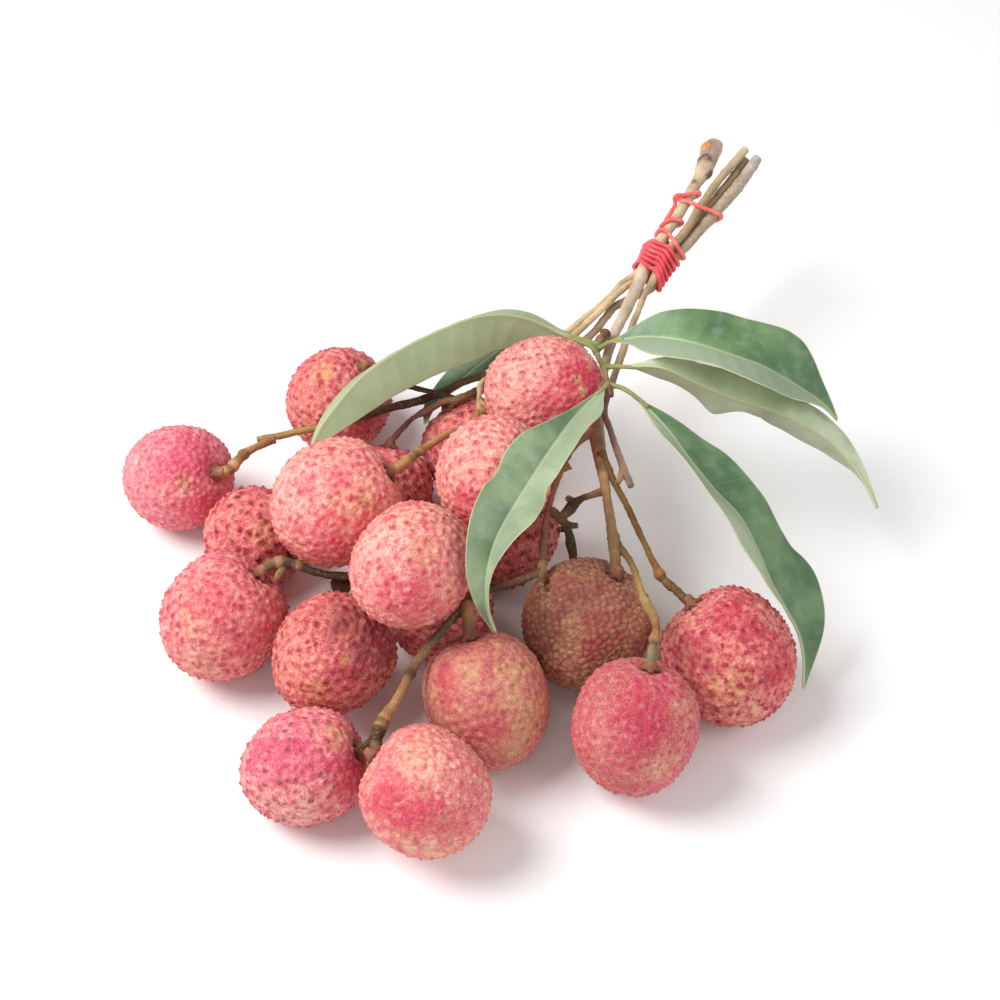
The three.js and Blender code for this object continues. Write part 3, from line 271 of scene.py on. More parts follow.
LIP = 0.16  # the bevel of a cut end along the limb
LIP_NARROW = 0.86
FLARE = 0.45  # how much a side limb widens at its foot
FLARE_REACH = 2.2
LIMB_RING = 0.6  # distance between the rings of points along a limb
THICK_LIMB = 1.6  # limbs with a greater mean radius have more sides
THICK_SIDES = 18
THIN_SIDES = 14
BARK_ROUGH = 0.3
ALL_ROUND = 99  # a mark this wide is a ring
MARK_EDGE = 1.35
MARK_SOFT = 0.7
STALK_SUNK = 0.6  # a stalk ends this far below the bottom of its fruit's hollow
STALK_NARROW = 0.95
COLLAR_ABOVE = 0.2
COLLAR_SIDES = 30
COLLAR_STEP = 0.22
COLLAR_RINGS = [(0, 2.2), (0.6, 2.7), (1, 2.5), (1.5, 1.8), (2.1, 1.5), (2.9, 1.2), (3.4, 1)]
COLLAR_TONES = "6e3c30 94604a a4765a"
COLLAR_LOBE = 0.26
BRACT_STEPS = 16
BRACT_THICK = 0.5

# A limb runs through [x, y, z, radius] points from its foot to its end, or on into the fruit that
# it goes `to`. Its tones follow each other along it. Marks are knots and scars: (length, angle,
# long, wide, height, colour, strength). Rings go all round: (length, long, height, colour,
# strength). `thin` scales the radius of its path.
MAIN_LIMBS = [
    # the thick shoot, from its knotty cut end down to lychee_11
    dict(to=11, stick="main",
        # the seventh tone, darker than those beside it, is painted shade near a junction part way along
        tones="d8bcac c8b494 ccb894 d0bca4 ccb8a0 c4aa88 b08c6c c8a074 c4a074 845e3e",
    marks=[
        (4.3, 55, 2.6, 2.5, 0.5, "8a5f50", 0.8), (4.3, 55, 1.7, 1.6, 0.7, "e08a3c", 1),
        (8.7, 25, 1.1, 1.2, 0.6, "5e3c38", 0.95), (9.5, 75, 1, 1, 0.5, "5e3c38", 0.95),
        (9.1, 0, 0.8, 1, 0.4, "6a463e", 0.9), (13.4, -60, 1.6, 1.5, 0.9, "5f4238", 0.9),
        (18.6, 25, 0.9, 0.9, 0.5, "70483c", 0.8), (13, 10, 1.4, 1.2, 0.4, "b89a84", 0.6),
    ], path=[
        [42, 72.3, 43.2, 1.9], [39.7, 66.9, 41.8, 1.85], [37.3, 61.4, 40.6, 1.75],
        [33.6, 52.6, 38.8, 1.55], [30.8, 42.9, 36.2, 1.4], [28.8, 33.6, 32.7, 1.6],
        [28.1, 21.9, 29.8, 2.3], [28.7, 11.6, 30.5, 2], [29.5, 1.6, 31.7, 1.4],
        [30.1, -8.8, 33.1, 1.25], [30.7, -16.6, 34.4, 1.4], [31.2, -25.6, 35, 1.6],
        [31.4, -32.4, 34.6, 1.5],
    ]),
    dict(to=12, thin=0.9, tones="8a6444 86683e 90743f a88a50 b2945c a48256 b07c50 8c7c5a 86704c",
    rings=[
        (30.8, 1.2, 0.2, "9c7c50", 0.4), (39, 1.6, -0.15, "8a5434", 0.7), (42.6, 1, 0.4, "b0784a", 0.7),
        (44.4, 0.8, -0.15, "6a5238", 0.8),
    ], path=[
        [31.2, -20.9, 33, 1.4], [32.5, -25.7, 34.3, 1.3], [34.1, -28.7, 34.9, 1.05],
        [35.8, -33.2, 35.6, 1], [37.2, -39.4, 36.2, 1.05], [38.2, -45.4, 36.7, 1.15],
        [39.6, -50, 37.2, 1.6], [40.8, -54.2, 38.2, 1.25], [41, -58.6, 38.6, 1.45],
        [40.1, -62.6, 38.6, 1.3], [39.4, -66.6, 38.6, 1.3],
    ]),
    dict(to=13, thin=0.88, tones="8c6c3e 967846 a07c48 947042 9c7a42 ac7c3e 7c6238 6a4e2e", rings=[
        (47.2, 1, 0.3, "b8823e", 0.7), (49.4, 0.7, -0.2, "5a4224", 0.6),
        (52.2, 0.8, 0.25, "6e5430", 0.6), (54.8, 0.7, 0.2, "6a4a2c", 0.7),
    ], path=[
        [28.9, 11.9, 32.3, 1.2], [30.9, 6.1, 31.4, 1.2], [32.5, 0.2, 31.6, 1.1],
        [35.6, -8.4, 31.8, 1.05], [38.1, -16.5, 31.7, 1.05], [40.5, -24.2, 31.7, 1],
        [42.4, -29.7, 31.4, 1.1], [43.9, -33.5, 31.2, 1.65], [45.7, -36.3, 31.2, 1.3],
        [47.8, -38.5, 31.1, 1.25], [49.4, -40.7, 31, 1.35],
    ]),
    # knuckled twig that ends behind lychee_11
    dict(tones="ac7c66 ac7c5a 6a4c34 58402e 645040 8c7454", path=[
        [29.9, -2.6, 31.7, 1], [25.9, -3.8, 31.3, 0.95], [22.8, -5.3, 31.3, 0.95],
        [20.8, -6.9, 31, 1.7], [19.1, -9, 30.4, 1.6], [17.3, -11.7, 31.5, 1.05],
        [16.2, -11.6, 31.2, 0.95],
    ]),
    # a second knuckled twig, beside it
    dict(tones="886850 8c7250 5e4c32 564634 52442e a06c58", path=[
        [14.3, -10, 31.5, 1], [15.7, -10.9, 31.1, 1.1], [17.1, -12, 30.4, 1.2],
        [18.2, -13.2, 29.7, 1.3], [19.3, -15.7, 28.2, 1.15], [19.8, -18, 26.3, 1.5],
        [20.4, -19.8, 24.1, 1.25], [20.5, -20.9, 22.3, 1.15],
    ]),
    # past lychee_10
    dict(to=8, thin=0.88,
        tones="ac7c62 a8825c a07450 ac7062 8a6c58 7c5c40 5a4430 5c5238 746044 8c643e b4845a 5a4028",
    rings=[
        (109, 1.1, 0.35, "4e3220", 0.85), (121.5, 1.2, 0.1, "8a6436", 0.7),
        (124.2, 0.9, -0.1, "5c4226", 0.8), (128.6, 2.6, 0, "3e2e1e", 0.9),
    ], path=[
        [26.6, 22, 30.4, 1.4], [21.3, 15.6, 30.9, 1.2], [18, 7.2, 31.5, 1.1], [14.9, -3, 31.7, 1.1],
        [12.8, -13.5, 31, 1.1], [11.8, -23.5, 32.2, 1.1], [11, -34, 34, 1.15], [4, -38, 34.2, 1],
        [-3, -41, 34, 1], [-9.4, -46, 33.4, 1.2], [-14.9, -52.7, 32.5, 1.2], [-19.9, -60, 31.9, 1.45],
        [-23.4, -66, 30.7, 1.35], [-25.4, -70.4, 29.5, 1.35], [-27.7, -74.8, 28.2, 1.45],
        [-30.2, -78.5, 27, 2.1], [-31.6, -82.1, 26.5, 2.25], [-32.3, -84.7, 25.9, 1.9],
    ]),
    # bare stub where that shoot turns
    dict(path=[[11.6, -31, 33.6, 1.05], [11.2, -35, 34, 1], [11, -39.4, 34.6, 0.9]]),
    dict(to=7, tones="5c442c 463224",
        path=[[-31.4, -81.6, 26.3, 1.2], [-33.3, -83.1, 23.9, 1.1], [-35.2, -83.9, 22.1, 1.05]]),
    dict(to=10, path=[[-8.8, -45.6, 33.6, 1.4], [-8.6, -50, 34, 1.6], [-8.4, -53.4, 32.8, 1.7]]),
    dict(to=19, path=[[-3, -41, 34, 0.9], [-5.8, -38.8, 30, 0.8], [-7.8, -36.8, 26.6, 0.9]]),
    dict(to=18, path=[[20, 8, 31, 0.9], [15.6, 6, 29, 0.8], [12, 5, 26.6, 0.8], [10.3, 4.8, 24.9, 0.9]]),
    # dry buds on the knuckled twigs
    dict(tones="5a4230 6e5442",
        path=[[20.8, -6.7, 31.2, 0.9], [19.4, -6.3, 32.4, 0.8], [18.9, -6.3, 32.9, 0.7]]),
    dict(tones="7a5640 6e5442",
        path=[[19, -13.6, 29.6, 0.8], [20.6, -13.9, 29.8, 0.75], [21.6, -14, 30, 0.7]]),
    dict(tones="5a4230 5e4636",
        path=[[18.2, -14.1, 28.9, 0.8], [16.8, -14.6, 28.9, 0.7], [16, -14.8, 28.9, 0.6]]),
    # dark bud under the node of the leaf
    dict(tones="5a3834 7c4c48",
        path=[[29.2, 33.6, 34.4, 1.1], [30.6, 33.2, 34.8, 1.5], [31.8, 33, 34.9, 1.2]]),
    # red-brown bud at the foot of the leaf's stalk
    dict(tones="6a4034 9c6450",
        path=[[28.4, 46.6, 40.4, 1.1], [29.3, 47.4, 41.8, 1.5], [30, 48.2, 43.2, 1.2]]),
]
LEFT_LIMBS = [
    # the long shoot that reaches lychee_01 and ends in a stub
    dict(stick="left",
        tones="c8a482 dcbc9c d4bc98 ccb490 c8b08c bca078 b08c64 94785c 6c5044 6c5240 5a4028 bc9058 "
        "b08c54 a87c54",
    path=[
        [37.2, 75.9, 38.8, 1.1], [32.9, 71.8, 36.6, 1.1], [29.3, 67.9, 35.6, 1.15],
        [24.4, 63.8, 34.6, 1.15], [21, 60.3, 33.8, 1.15], [15.8, 55.4, 33.2, 1.15],
        [5.9, 49.1, 32.1, 1.15], [-4.7, 44.3, 31, 1.1], [-11.2, 41.8, 30.5, 1.1],
        [-17.1, 39.3, 29, 1.15], [-23.6, 37.2, 27.6, 1.3], [-31.3, 35, 27.2, 1.3],
        [-37.1, 33.2, 26.8, 1.35], [-43.5, 30.7, 26, 1.3], [-53.3, 28.4, 25, 0.9],
        [-58.7, 27.5, 24.6, 1], [-64.5, 26.2, 24.1, 1.1], [-68.3, 25.6, 23.8, 1.05],
        [-71.1, 25.2, 23.5, 0.85],
    ]),
    dict(to=1, tones="a07048 b07c50 b88a5c a87850 c4925f b88058", rings=[
        (10.8, 0.9, 0.3, "86583a", 0.7), (12.6, 0.7, -0.15, "6e4a30", 0.6),
        (16.2, 0.9, 0.3, "d8a878", 0.7), (18, 0.7, -0.1, "7a4c34", 0.8),
    ], path=[
        [-66.2, 25.3, 23.7, 1.05], [-69.6, 23, 23.7, 1.15], [-72.6, 20.7, 24, 1.1],
        [-74.7, 18.2, 24.4, 1.6], [-76.3, 15.1, 24.6, 1.45], [-78.3, 12.2, 24.4, 1.7],
    ]),
]
MIDDLE_LIMBS = [
    # through the fork for lychee_02
    dict(to=16, stick="middle",
        tones="b09a80 a8906c b09878 b09a78 b09878 ccaa86 dcc09a dcbc92 c8a880 b89a72 6c5432 a88060 "
        "825e5c 885a50",
    path=[
        [41.4, 75.1, 40.5, 1.05], [38.3, 73, 40.5, 1.05], [34.1, 69.8, 38.6, 1.05],
        [30.7, 66.3, 37.3, 1.05], [26.6, 62.2, 36.1, 1.1], [23.4, 59, 35, 1.1],
        [18.5, 54.5, 33.7, 1.15], [6.8, 45.3, 31.4, 1.3], [-5.3, 38.7, 30.8, 1.35],
        [-10, 35.1, 31.7, 1.2], [-12.9, 33.9, 31.4, 1.15], [-15.8, 34, 30.8, 1.05],
        [-19.1, 34.1, 28.7, 1.05], [-21.5, 32.8, 27.9, 1.3], [-23.6, 31.6, 27.6, 0.9],
        [-26, 29.9, 27.1, 0.8], [-28.1, 27.4, 26.8, 0.8], [-29.9, 24.6, 26.5, 0.9],
        [-31.7, 21.9, 26.1, 1],
    ]),
    dict(to=2, tones="685036 64463c 645442", path=[
        [-13.8, 35.4, 29.7, 1.1], [-16.7, 35.8, 31.1, 0.95], [-19.4, 36.3, 31.8, 0.8],
        [-22.3, 37.3, 31.8, 0.75], [-25.3, 38.6, 31.5, 0.75], [-28.9, 40.7, 30.7, 0.75],
        [-34.1, 44.7, 29.7, 0.8], [-37.5, 47.6, 29.6, 0.95],
    ]),
    dict(to=17, path=[[-13.1, 33.9, 31.1, 0.9], [-13.6, 33.9, 30.2, 0.95], [-14, 33.9, 29.3, 1]]),
]
INNER_LIMBS = [
    # rough bark at its cut end; it runs under the upper fruit to lychee_05
    dict(to=5, stick="inner", rough_end=30,
        tones="bcb2a8 b09c84 b09c84 ac987c ac987c c4a684 a48a6c bea68e c4a070 c49a6c a88454 8c6c44 "
        "5c4632 4e3a2c 8a6448",
    rings=[
        (226.5, 0.9, 0.25, "a8845c", 0.7), (228.8, 0.8, -0.15, "5a4030", 0.8),
        (232, 1, 0.2, "b89468", 0.6),
    ], path=[
        [45.4, 73, 39, 1.2], [42.3, 72, 37.9, 1.2], [38.7, 70.7, 37, 1.2], [34.4, 68.6, 35.7, 1.2],
        [32, 65.7, 34.5, 1.2], [28.7, 61.3, 33.1, 1.2], [25.7, 58, 32.3, 1.2], [22.1, 53.6, 31.6, 1.2],
        [16.7, 48, 31.2, 1.1], [7.9, 40.5, 33.5, 1.1], [-2.9, 36.8, 37.1, 1.05],
        [-5.5, 34.2, 37.5, 0.9], [-5.9, 30.1, 37.5, 0.8], [-6, 25.5, 38, 0.8], [-5.3, 20.7, 39.1, 1],
        [-4, 17.1, 39.6, 1], [-3.7, 10.6, 38.6, 1], [-6.2, 1.6, 33.7, 1], [-10.7, -6.4, 30, 1],
        [-15.4, -12.5, 28, 1], [-21.2, -16.8, 27.9, 1.05], [-30, -24, 28.5, 1.1],
        [-41.2, -30.3, 27.6, 1.3], [-46.7, -30.6, 28.2, 1], [-51.9, -30.1, 29.5, 1.1],
        [-56.2, -29.3, 31.2, 1.4], [-60, -29.2, 31.9, 1.6], [-63.5, -30.2, 31.5, 1.45],
    ]),
    # a bud below the calyx of lychee_05
    dict(tones="7c6040 9c7c50",
        path=[[-59.2, -30, 30.9, 0.95], [-60.4, -31.6, 29.8, 1.05], [-61.2, -32.3, 28.6, 0.85]]),
    dict(to=4, tones="96743f a07c46 a88050 b88c58 a87e50 b48454 a87c50", rings=[
        (30.3, 0.9, 0.3, "8a643c", 0.7), (32.4, 0.7, -0.15, "6e5030", 0.6),
        (36, 0.9, 0.25, "b8905c", 0.7),
    ], path=[
        [-5.5, 21.3, 38.8, 0.9], [-7.1, 17.5, 39.9, 0.85], [-9.2, 14.3, 41.4, 0.85],
        [-11.7, 10.6, 43.2, 0.85], [-15.1, 6.3, 45.2, 0.95], [-18.4, 2, 46.7, 1.05],
        [-20.8, -0.8, 47.4, 1.1], [-22.7, -2.9, 47.9, 1.35], [-25.2, -5.8, 48.3, 1.3],
        [-27.5, -8.3, 48.2, 1.55],
    ]),
    dict(to=14, path=[[-6, 27.2, 37.9, 0.8], [-4.8, 24.9, 38.8, 0.75], [-3.6, 22.8, 39.8, 0.8]]),
    dict(to=15, path=[[-3.7, 13, 39.4, 0.9], [-2.7, 9.2, 41.4, 0.85], [-1.4, 5.3, 44, 0.9]]),
    dict(to=9, path=[
        [-15.1, -12.2, 28.3, 0.9], [-14.7, -15.5, 32.6, 0.85], [-15.1, -21.2, 38.2, 0.85],
        [-15.5, -26.1, 42.6, 0.9],
    ]),
    dict(to=6, path=[
        [-29, -22.6, 28.8, 0.9], [-32, -31, 27.6, 0.85], [-33.3, -38.5, 26, 0.85],
        [-33.7, -40.8, 25.4, 0.9],
    ]),
    dict(to=3, path=[
        [-53.2, -29.9, 29.9, 0.9], [-54, -24, 24, 0.8], [-56, -16.6, 18.4, 0.8],
        [-57.3, -13.6, 16.7, 0.9],
    ]),
]
BARE_LIMBS = [
    # a shoot that has lost its fruit and ends in a fork
    dict(stick="bare",
        tones="ccbc9c b8a27e b49c78 a48864 bc9e7e bca080 ccb090 c8a888 c0a084 ac947a 766258 967e78 "
        "b08c74 a89080",
    path=[
        [46.1, 72.2, 43.7, 1.15], [43.6, 68, 42, 1], [41.5, 62.6, 40.8, 0.95], [39.3, 56.6, 39.6, 0.95],
        [36, 46.4, 38.2, 1.15], [32.7, 35.8, 36.3, 1.05], [30.2, 26.1, 35.3, 0.95],
        [31.6, 18, 35, 0.95], [33.6, 9.4, 34.5, 1], [35.1, 3, 34.4, 1.15], [36.9, -2.6, 33.7, 0.95],
    ]),
    # the other prong
    dict(path=[[34.9, 3.2, 34.2, 0.9], [34, 0.3, 34.4, 0.85], [33.2, -1.9, 34.3, 0.8]]),
]
STEMS = [  # name, how much pale and dark speckle, tones and limbs
    ("stem_main", 0.12, "a07850 a8845c 8c6848 7a5a3e", MAIN_LIMBS),
    ("stem_left", 0.15, "b08c64 a07c50", LEFT_LIMBS),
    ("stem_middle", 0.15, "8c6c4c 7a5c42", MIDDLE_LIMBS),
    ("stem_inner", 0.12, "a8845c b08c64 8c6a48", INNER_LIMBS),
    ("stem_bare", 0.1, "b08c70 c49c7c", BARE_LIMBS),
]
BRACT = dict(  # a dry bract on the twig of lychee_05, made like a leaflet
    stem="stem_inner", waves=0, wave=0, phase=0, curl=0,
    wide_left=[0.5, 3.2, 2.8, 1.6, 0.5], wide_right=[0.5, 3.2, 2.8, 1.6, 0.5],
    rib=[[-43.4, -29.8, 27.4], [-43.8, -31.6, 24], [-44.2, -33.6, 20.4]],
    left=[[-1, 0, 0.1], [-1, 0, 0.2]], right=[[1, 0.1, 0.2], [1, 0.1, 0.3]],
)

# ---- rubber band -------------------------------------------------------------------------
# Tight turns side by side, each crossing the left edge of the bundle at one station and the right
# edge at another, then a loose end that winds round single sticks: (degrees, station, pitch).
BAND_THICK = 1.35
BAND_CLEAR = 0.05
BAND_TIGHT = 193  # length of cord in the tight turns
BAND_FADE = 8
BAND_TURNS = 6
BAND_LEFT = (159, -2.7, 1.6)
BAND_RIGHT = (-21, -6.4, 1.95)
BAND_STEPS = 16  # a half turn
BAND_POINTS = 1100
LOOSE_STEPS = 6  # between two places of the loose end
CORD_SIDES = 12
CORD_RING = 0.45
CORD_ROUGH = 0.08
BAND_EASE = 5  # points that are averaged along the cord
STICK_PAST = 2  # the band holds to a stick this far past its end
BAND_LOOSE = [  # (station, stick, degrees round it, lift off it)
    (3.6, "inner", -20, 0), (4.8, "inner", -72, 0), (6.6, "middle", -100, 0), (8.3, "main", -120, 0),
    (9, "main", -165, 0), (9.3, "main", 170, 0), (9.9, "main", 120, 0), (10, "main", 80, 0),
    (9.6, "main", 40, 0), (7.2, "bare", 72, 0), (6.6, "inner", 60, 0), (6.5, "inner", 0, 0),
    (7.2, "inner", -70, 0), (9, "middle", -95, 0), (11, "main", -110, 0), (12, "main", -160, 0),
    (12.4, "main", 165, 0), (14.4, "main", 95, 0), (16.2, "main", 25, 0), (16.6, "main", -25, 0),
    (16, "main", -90, 0), (15.2, "main", -150, 0), (15, "main", -175, 0), (18, "main", 178, 0),
    (21.5, "main", 168, 0), (23, "main", 140, 1.65), (24.8, "main", 100, 0), (28.4, "main", 25, 0),
    (29, "main", -25, 0), (28, "main", -90, 0), (25.6, "main", -150, 0), (23.9, "main", 170, 0),
    (22.5, "main", 100, 0), (23.2, "main", 50, 0), (22.9, "bare", 80, 0), (24.4, "inner", 75, 0),
    (25.6, "inner", 5, 0), (25.3, "inner", -35, 0), (24.4, "inner", -78, 0), (20, "inner", -90, 0),
    (14, "inner", -90, 0), (10.5, "inner", -90, 0),
]

# ---- leaf --------------------------------------------------------------------------------
BLADE_STEPS = 100
BLADE_THICK = 0.42
BLADE_ACROSS = np.array(
    [0, 0.03, 0.06, 0.11, 0.18, 0.27, 0.36, 0.46, 0.56, 0.66, 0.76, 0.85, 0.92, 0.97, 1]
)
BRACT_ACROSS = np.array([0, 0.15, 0.35, 0.6, 0.8, 1])
BLADE_LEAST = 0.4  # half width at the very tip
VEIN_PAIRS = 15
QUILT = 0.07  # swelling between the side veins
RIB_GROOVE = (0.16, 0.45)  # depth and width of the midrib's groove, above
RIB_RIDGE = (0.42, 0.55)  # height and width of its ridge, below
VEIN_LEAN = 0.42
MARGIN_THIN = 0.35  # how much thinner a blade is at its margin
RIGHT_PHASE = 1.3  # the waves of the right half run on by this
STALK_SIDES = 12
STALK_FLARE = 0.35
STALK_ROUGH = 0.12
STALK_SPECKLE = 0.12

# The greens of a leaflet's two faces. On the upper face one half is painted paler in `pale`, a painted
# sheen whose strength each look gives, and `sheen` is the colour of a cloudy painted sheen.
GREEN = dict(
    dark="50724a", green="6c8c5e", pale="a9b79c", sheen="99a898", vein="8fa77c", under="a2ae88",
    under_pale="b4bc9c", under_vein="bcbc8a", rib="b4c08e",
)
SOFT_GREEN = dict(
    GREEN, dark="667e5c", green="8ea27c", pale="bcc8a8", sheen="b0b8b2", rib="c2ccaa",
)

# One leaflet: its midrib from base to tip, the widths of its two halves at even steps along it,
# and the directions in which the halves leave it. The margin has `waves` waves of height `wave`
# and curls by `curl`; `ease` rounds the bend of a midrib, in steps; `turned` ones show the lower
# face upward.
LEAFLETS = [
    dict(name="leaflet_upper_right", waves=1.6, wave=0.9, phase=0.4, curl=-0.8,
        look=dict(GREEN, sheen_side="right", sheen_much=0.75),
        wide_left=[0.5, 3.5, 8, 10.5, 12.5, 14.2, 14.3, 14.3, 15, 14, 9.5, 4, 0.5],
        wide_right=[0.5, 4.5, 8, 10, 10, 8.5, 11, 13.5, 12.5, 8, 3.5, 1.2, 0.5],
    rib=[
        [32.5, 35.9, 52.9], [40.4, 33.6, 56.8], [49.5, 29, 60.2], [58, 25.2, 61], [65.6, 22.9, 59.7],
        [73.2, 21.6, 57.2], [79.7, 20.5, 53.6], [86.7, 19.5, 48.7], [91.9, 18.9, 44.4],
        [96.1, 17, 40.2],
    ], left=[[0.1, 0.95, 0.3], [0.1, 0.96, 0.25], [0.35, 0.9, 0.2], [0.5, 0.8, 0.1]],
        right=[[0, -0.9, 0.45], [0, -0.92, 0.4], [0, -0.95, 0.3], [-0.2, -0.95, 0.2]]),
    dict(name="leaflet_right", turned=True, waves=2.4, wave=1, phase=0.6, curl=-0.6,
        look=dict(GREEN, under="a4b48c", under_pale="c8d4b4", sheen_side="right", sheen_much=0),
        wide_left=[0.5, 3, 6.5, 9, 10, 8.7, 8, 8.5, 9.2, 7, 3.8, 1.8, 0.5],
    wide_right=[
        0.5, 5, 8, 8.4, 7, 8.5, 10.5, 4.5, 4.5, 9, 12.5, 12.9, 12.4, 11.5, 9, 5, 3, 1.2, 0.5,
    ], rib=[
        [37.1, 22.8, 56], [45, 21.2, 57], [55.9, 18.3, 53.3], [66.7, 15.9, 49.6], [75.4, 15.4, 46.5],
        [84.8, 13.8, 42.3], [93.6, 10.8, 37.8], [100.2, 6.3, 32.8], [104.1, 2.2, 28.6],
        [107, -3.6, 25.6],
    ], left=[[0.2, 0.96, 0.1], [0.3, 0.93, 0.1], [0.4, 0.9, 0.05], [0.5, 0.85, 0]], right=[
        [0.2, 0.3, -0.9], [0.2, 0.2, -0.95], [0, 0.1, -1], [0.25, 0.3, -0.9], [0.25, 0.2, -0.9],
        [0.25, 0.2, -0.9], [0.25, 0.3, -0.9],
    ]),
    dict(name="leaflet_lower_right", waves=2.2, wave=1.5, phase=2.6, curl=-0.8, ease=14,
        look=dict(SOFT_GREEN, dark="4c6e48", green="6a885c", cloud=0.15, sheen_side="right",
            sheen_much=0.7),
        wide_left=[0.5, 3.8, 7.6, 11.3, 12, 10.8, 11.4, 13.2, 14.6, 14, 9.6, 4.3, 0.5],
        wide_right=[0.5, 3.2, 6.9, 11, 12.5, 11.6, 8, 5.5, 4.5, 3, 1.5, 0.8, 0.5],
    rib=[
        [38.5, 5.1, 59.7], [45, -5.2, 59.9], [51.4, -16.6, 58.6], [57.1, -24.3, 56],
        [63.7, -30.5, 52.2], [68.5, -36.8, 46.1], [72.6, -42.2, 38.5], [77.2, -43.4, 29.2],
        [81, -45.4, 22], [83, -48.6, 15.2], [83.5, -53.1, 6.5],
    ], left=[[0.7, 0.7, 0.1], [0.7, 0.7, -0.15], [0.72, 0.68, -0.15], [0.8, 0.55, 0]],
        right=[[-0.3, -0.75, 0.6], [-0.2, -0.72, 0.67], [-0.2, -0.65, 0.72], [-0.2, -0.6, 0.75]]),
    dict(name="leaflet_front", waves=2.1, wave=1.6, phase=4, curl=-0.8,
        look=dict(SOFT_GREEN, sheen_side="left", sheen_much=0.4),
        wide_left=[0.8, 5.8, 8.8, 10, 10.3, 8.2, 6.2, 9.6, 14, 9.5, 3, 1, 0.5],
        wide_right=[0.5, 1.4, 2.8, 5.7, 9.2, 9.6, 8.3, 9.9, 9.6, 7, 4.6, 2.5, 0.5],
    rib=[
        [28.4, 10.2, 59.1], [25.3, 6.5, 59.1], [19.9, -1.7, 59.8], [14.6, -11.6, 60.3],
        [9.8, -21.5, 60.8], [5.9, -30.1, 61.2], [1.5, -39.4, 60.7], [-1.3, -45.4, 58.8],
        [-3.5, -52, 53.5], [-3.4, -56.3, 46.3], [-1.2, -58.7, 38.1],
    ], left=[[0.45, -0.7, 0.5], [0.38, -0.76, 0.5], [0.34, -0.76, 0.54], [0.3, -0.7, 0.6]],
        right=[[-0.75, 0.4, 0.4], [-0.82, 0.25, 0.5], [-0.84, 0.2, 0.5], [-0.85, 0.1, 0.45]]),
    dict(name="leaflet_left", turned=True, waves=1.4, wave=0.7, phase=0, curl=-0.8,
        look=dict(GREEN, under="92a47c", under_pale="a2b28a", sheen_side="right", sheen_much=0),
        wide_left=[0.9, 5.6, 9.4, 10.6, 12.1, 12, 11.1, 10.9, 10.1, 9.3, 6.9, 4.2, 0.5],
        wide_right=[0.5, 4, 8, 11, 12.5, 13, 13, 12.5, 11, 9, 6, 3, 0.5],
    rib=[
        [21.7, 41.5, 48], [15.9, 44, 49.4], [8.7, 45.6, 52.3], [1.4, 45.8, 54], [-7.2, 44.8, 53.9],
        [-17, 42.2, 51.5], [-28.9, 37.2, 48], [-39.6, 29.4, 45], [-46, 22, 42], [-51.2, 15.4, 38.4],
        [-54.4, 9, 34.4],
    ], left=[
        [0, -0.2, -0.98], [0, -0.45, -0.88], [0, -0.74, -0.67], [0.1, -0.74, -0.66], [0.3, -0.7, -0.65],
    ], right=[[0, 0.9, -0.3], [0, 0.8, -0.6], [0, 0.8, -0.6], [-0.4, 0.8, -0.4]]),
    dict(name="leaflet_low", waves=2, wave=0.8, phase=0, curl=-0.5,
        look=dict(GREEN, sheen_side="right", sheen_much=0),
        wide_left=[0.5, 2.5, 3, 3.5, 3.5, 2.5, 1, 0.6, 0.5],
        wide_right=[0.5, 2.5, 4.5, 6, 6.5, 6, 5, 3, 0.5],
    rib=[
        [18.5, 47.6, 44], [11.8, 51.7, 41.3], [4.5, 52.9, 36.8], [-3, 51.1, 32], [-10.2, 47.6, 27.5],
        [-15.8, 42.8, 25.5], [-19.8, 36.6, 25.4], [-22, 29.8, 25.5],
    ], left=[[0, -0.95, 0.2], [0, -0.98, 0.1], [0.2, -0.9, 0], [0.6, -0.7, -0.2], [0.9, 0, 0]],
        right=[[0, 0.95, 0.2], [0, 0.95, 0.2], [-0.5, 0.8, 0.1], [-0.9, 0.2, -0.1], [-0.9, 0, 0]]),
]

# The leaf's own stalk, from its swollen foot on the main stem to the bud at its end, then the
# short stalks of the leaflets.
LEAF_STALK_TONES = "7a4a38 8a7048 868a54 9ea466 9ea466 96905c 7e5a48 6e4438"
STALK_TONES = "868a54 9ea466"
LEAF_STALKS = [
    [
        [31.1, 51.2, 41.5, 1.3], [30, 47.4, 42.9, 1.15], [28.8, 42.6, 45.1, 0.95],
        [28, 37.6, 47.3, 0.85], [28.5, 29.9, 51.1, 0.75], [29.5, 23.8, 53.7, 0.75],
        [29.8, 17.8, 55.8, 0.8], [30.3, 12.1, 58, 1.1], [30.8, 8.8, 58.4, 0.75],
    ],
    [
        [28.8, 42.5, 45.2, 0.75], [25.1, 44.6, 44.9, 0.7], [21.1, 47.3, 44.2, 0.7],
        [18, 49.6, 43.9, 0.65],
    ],
    [[28.2, 38.8, 46.8, 0.75], [29.6, 38, 49, 0.7], [32.2, 36.9, 52, 0.65], [35, 35.4, 54.4, 0.65]],
    [
        [27.9, 35.5, 48.4, 0.75], [26.4, 37.8, 49.1, 0.7], [23.1, 40.4, 48.5, 0.65],
        [18.6, 42.6, 48.5, 0.65],
    ],
    [[29.2, 25.5, 53, 0.75], [31.4, 24.4, 54.2, 0.7], [34.4, 23.4, 55.2, 0.65], [40, 22, 56.2, 0.65]],
    [[30.1, 14, 57.3, 0.75], [34, 10.6, 59.4, 0.65], [40.6, 2.6, 60.3, 0.65]],
    [[30.1, 14.5, 57.2, 0.75], [29.2, 11.6, 58.8, 0.7], [26.6, 8, 59.4, 0.65]],
]

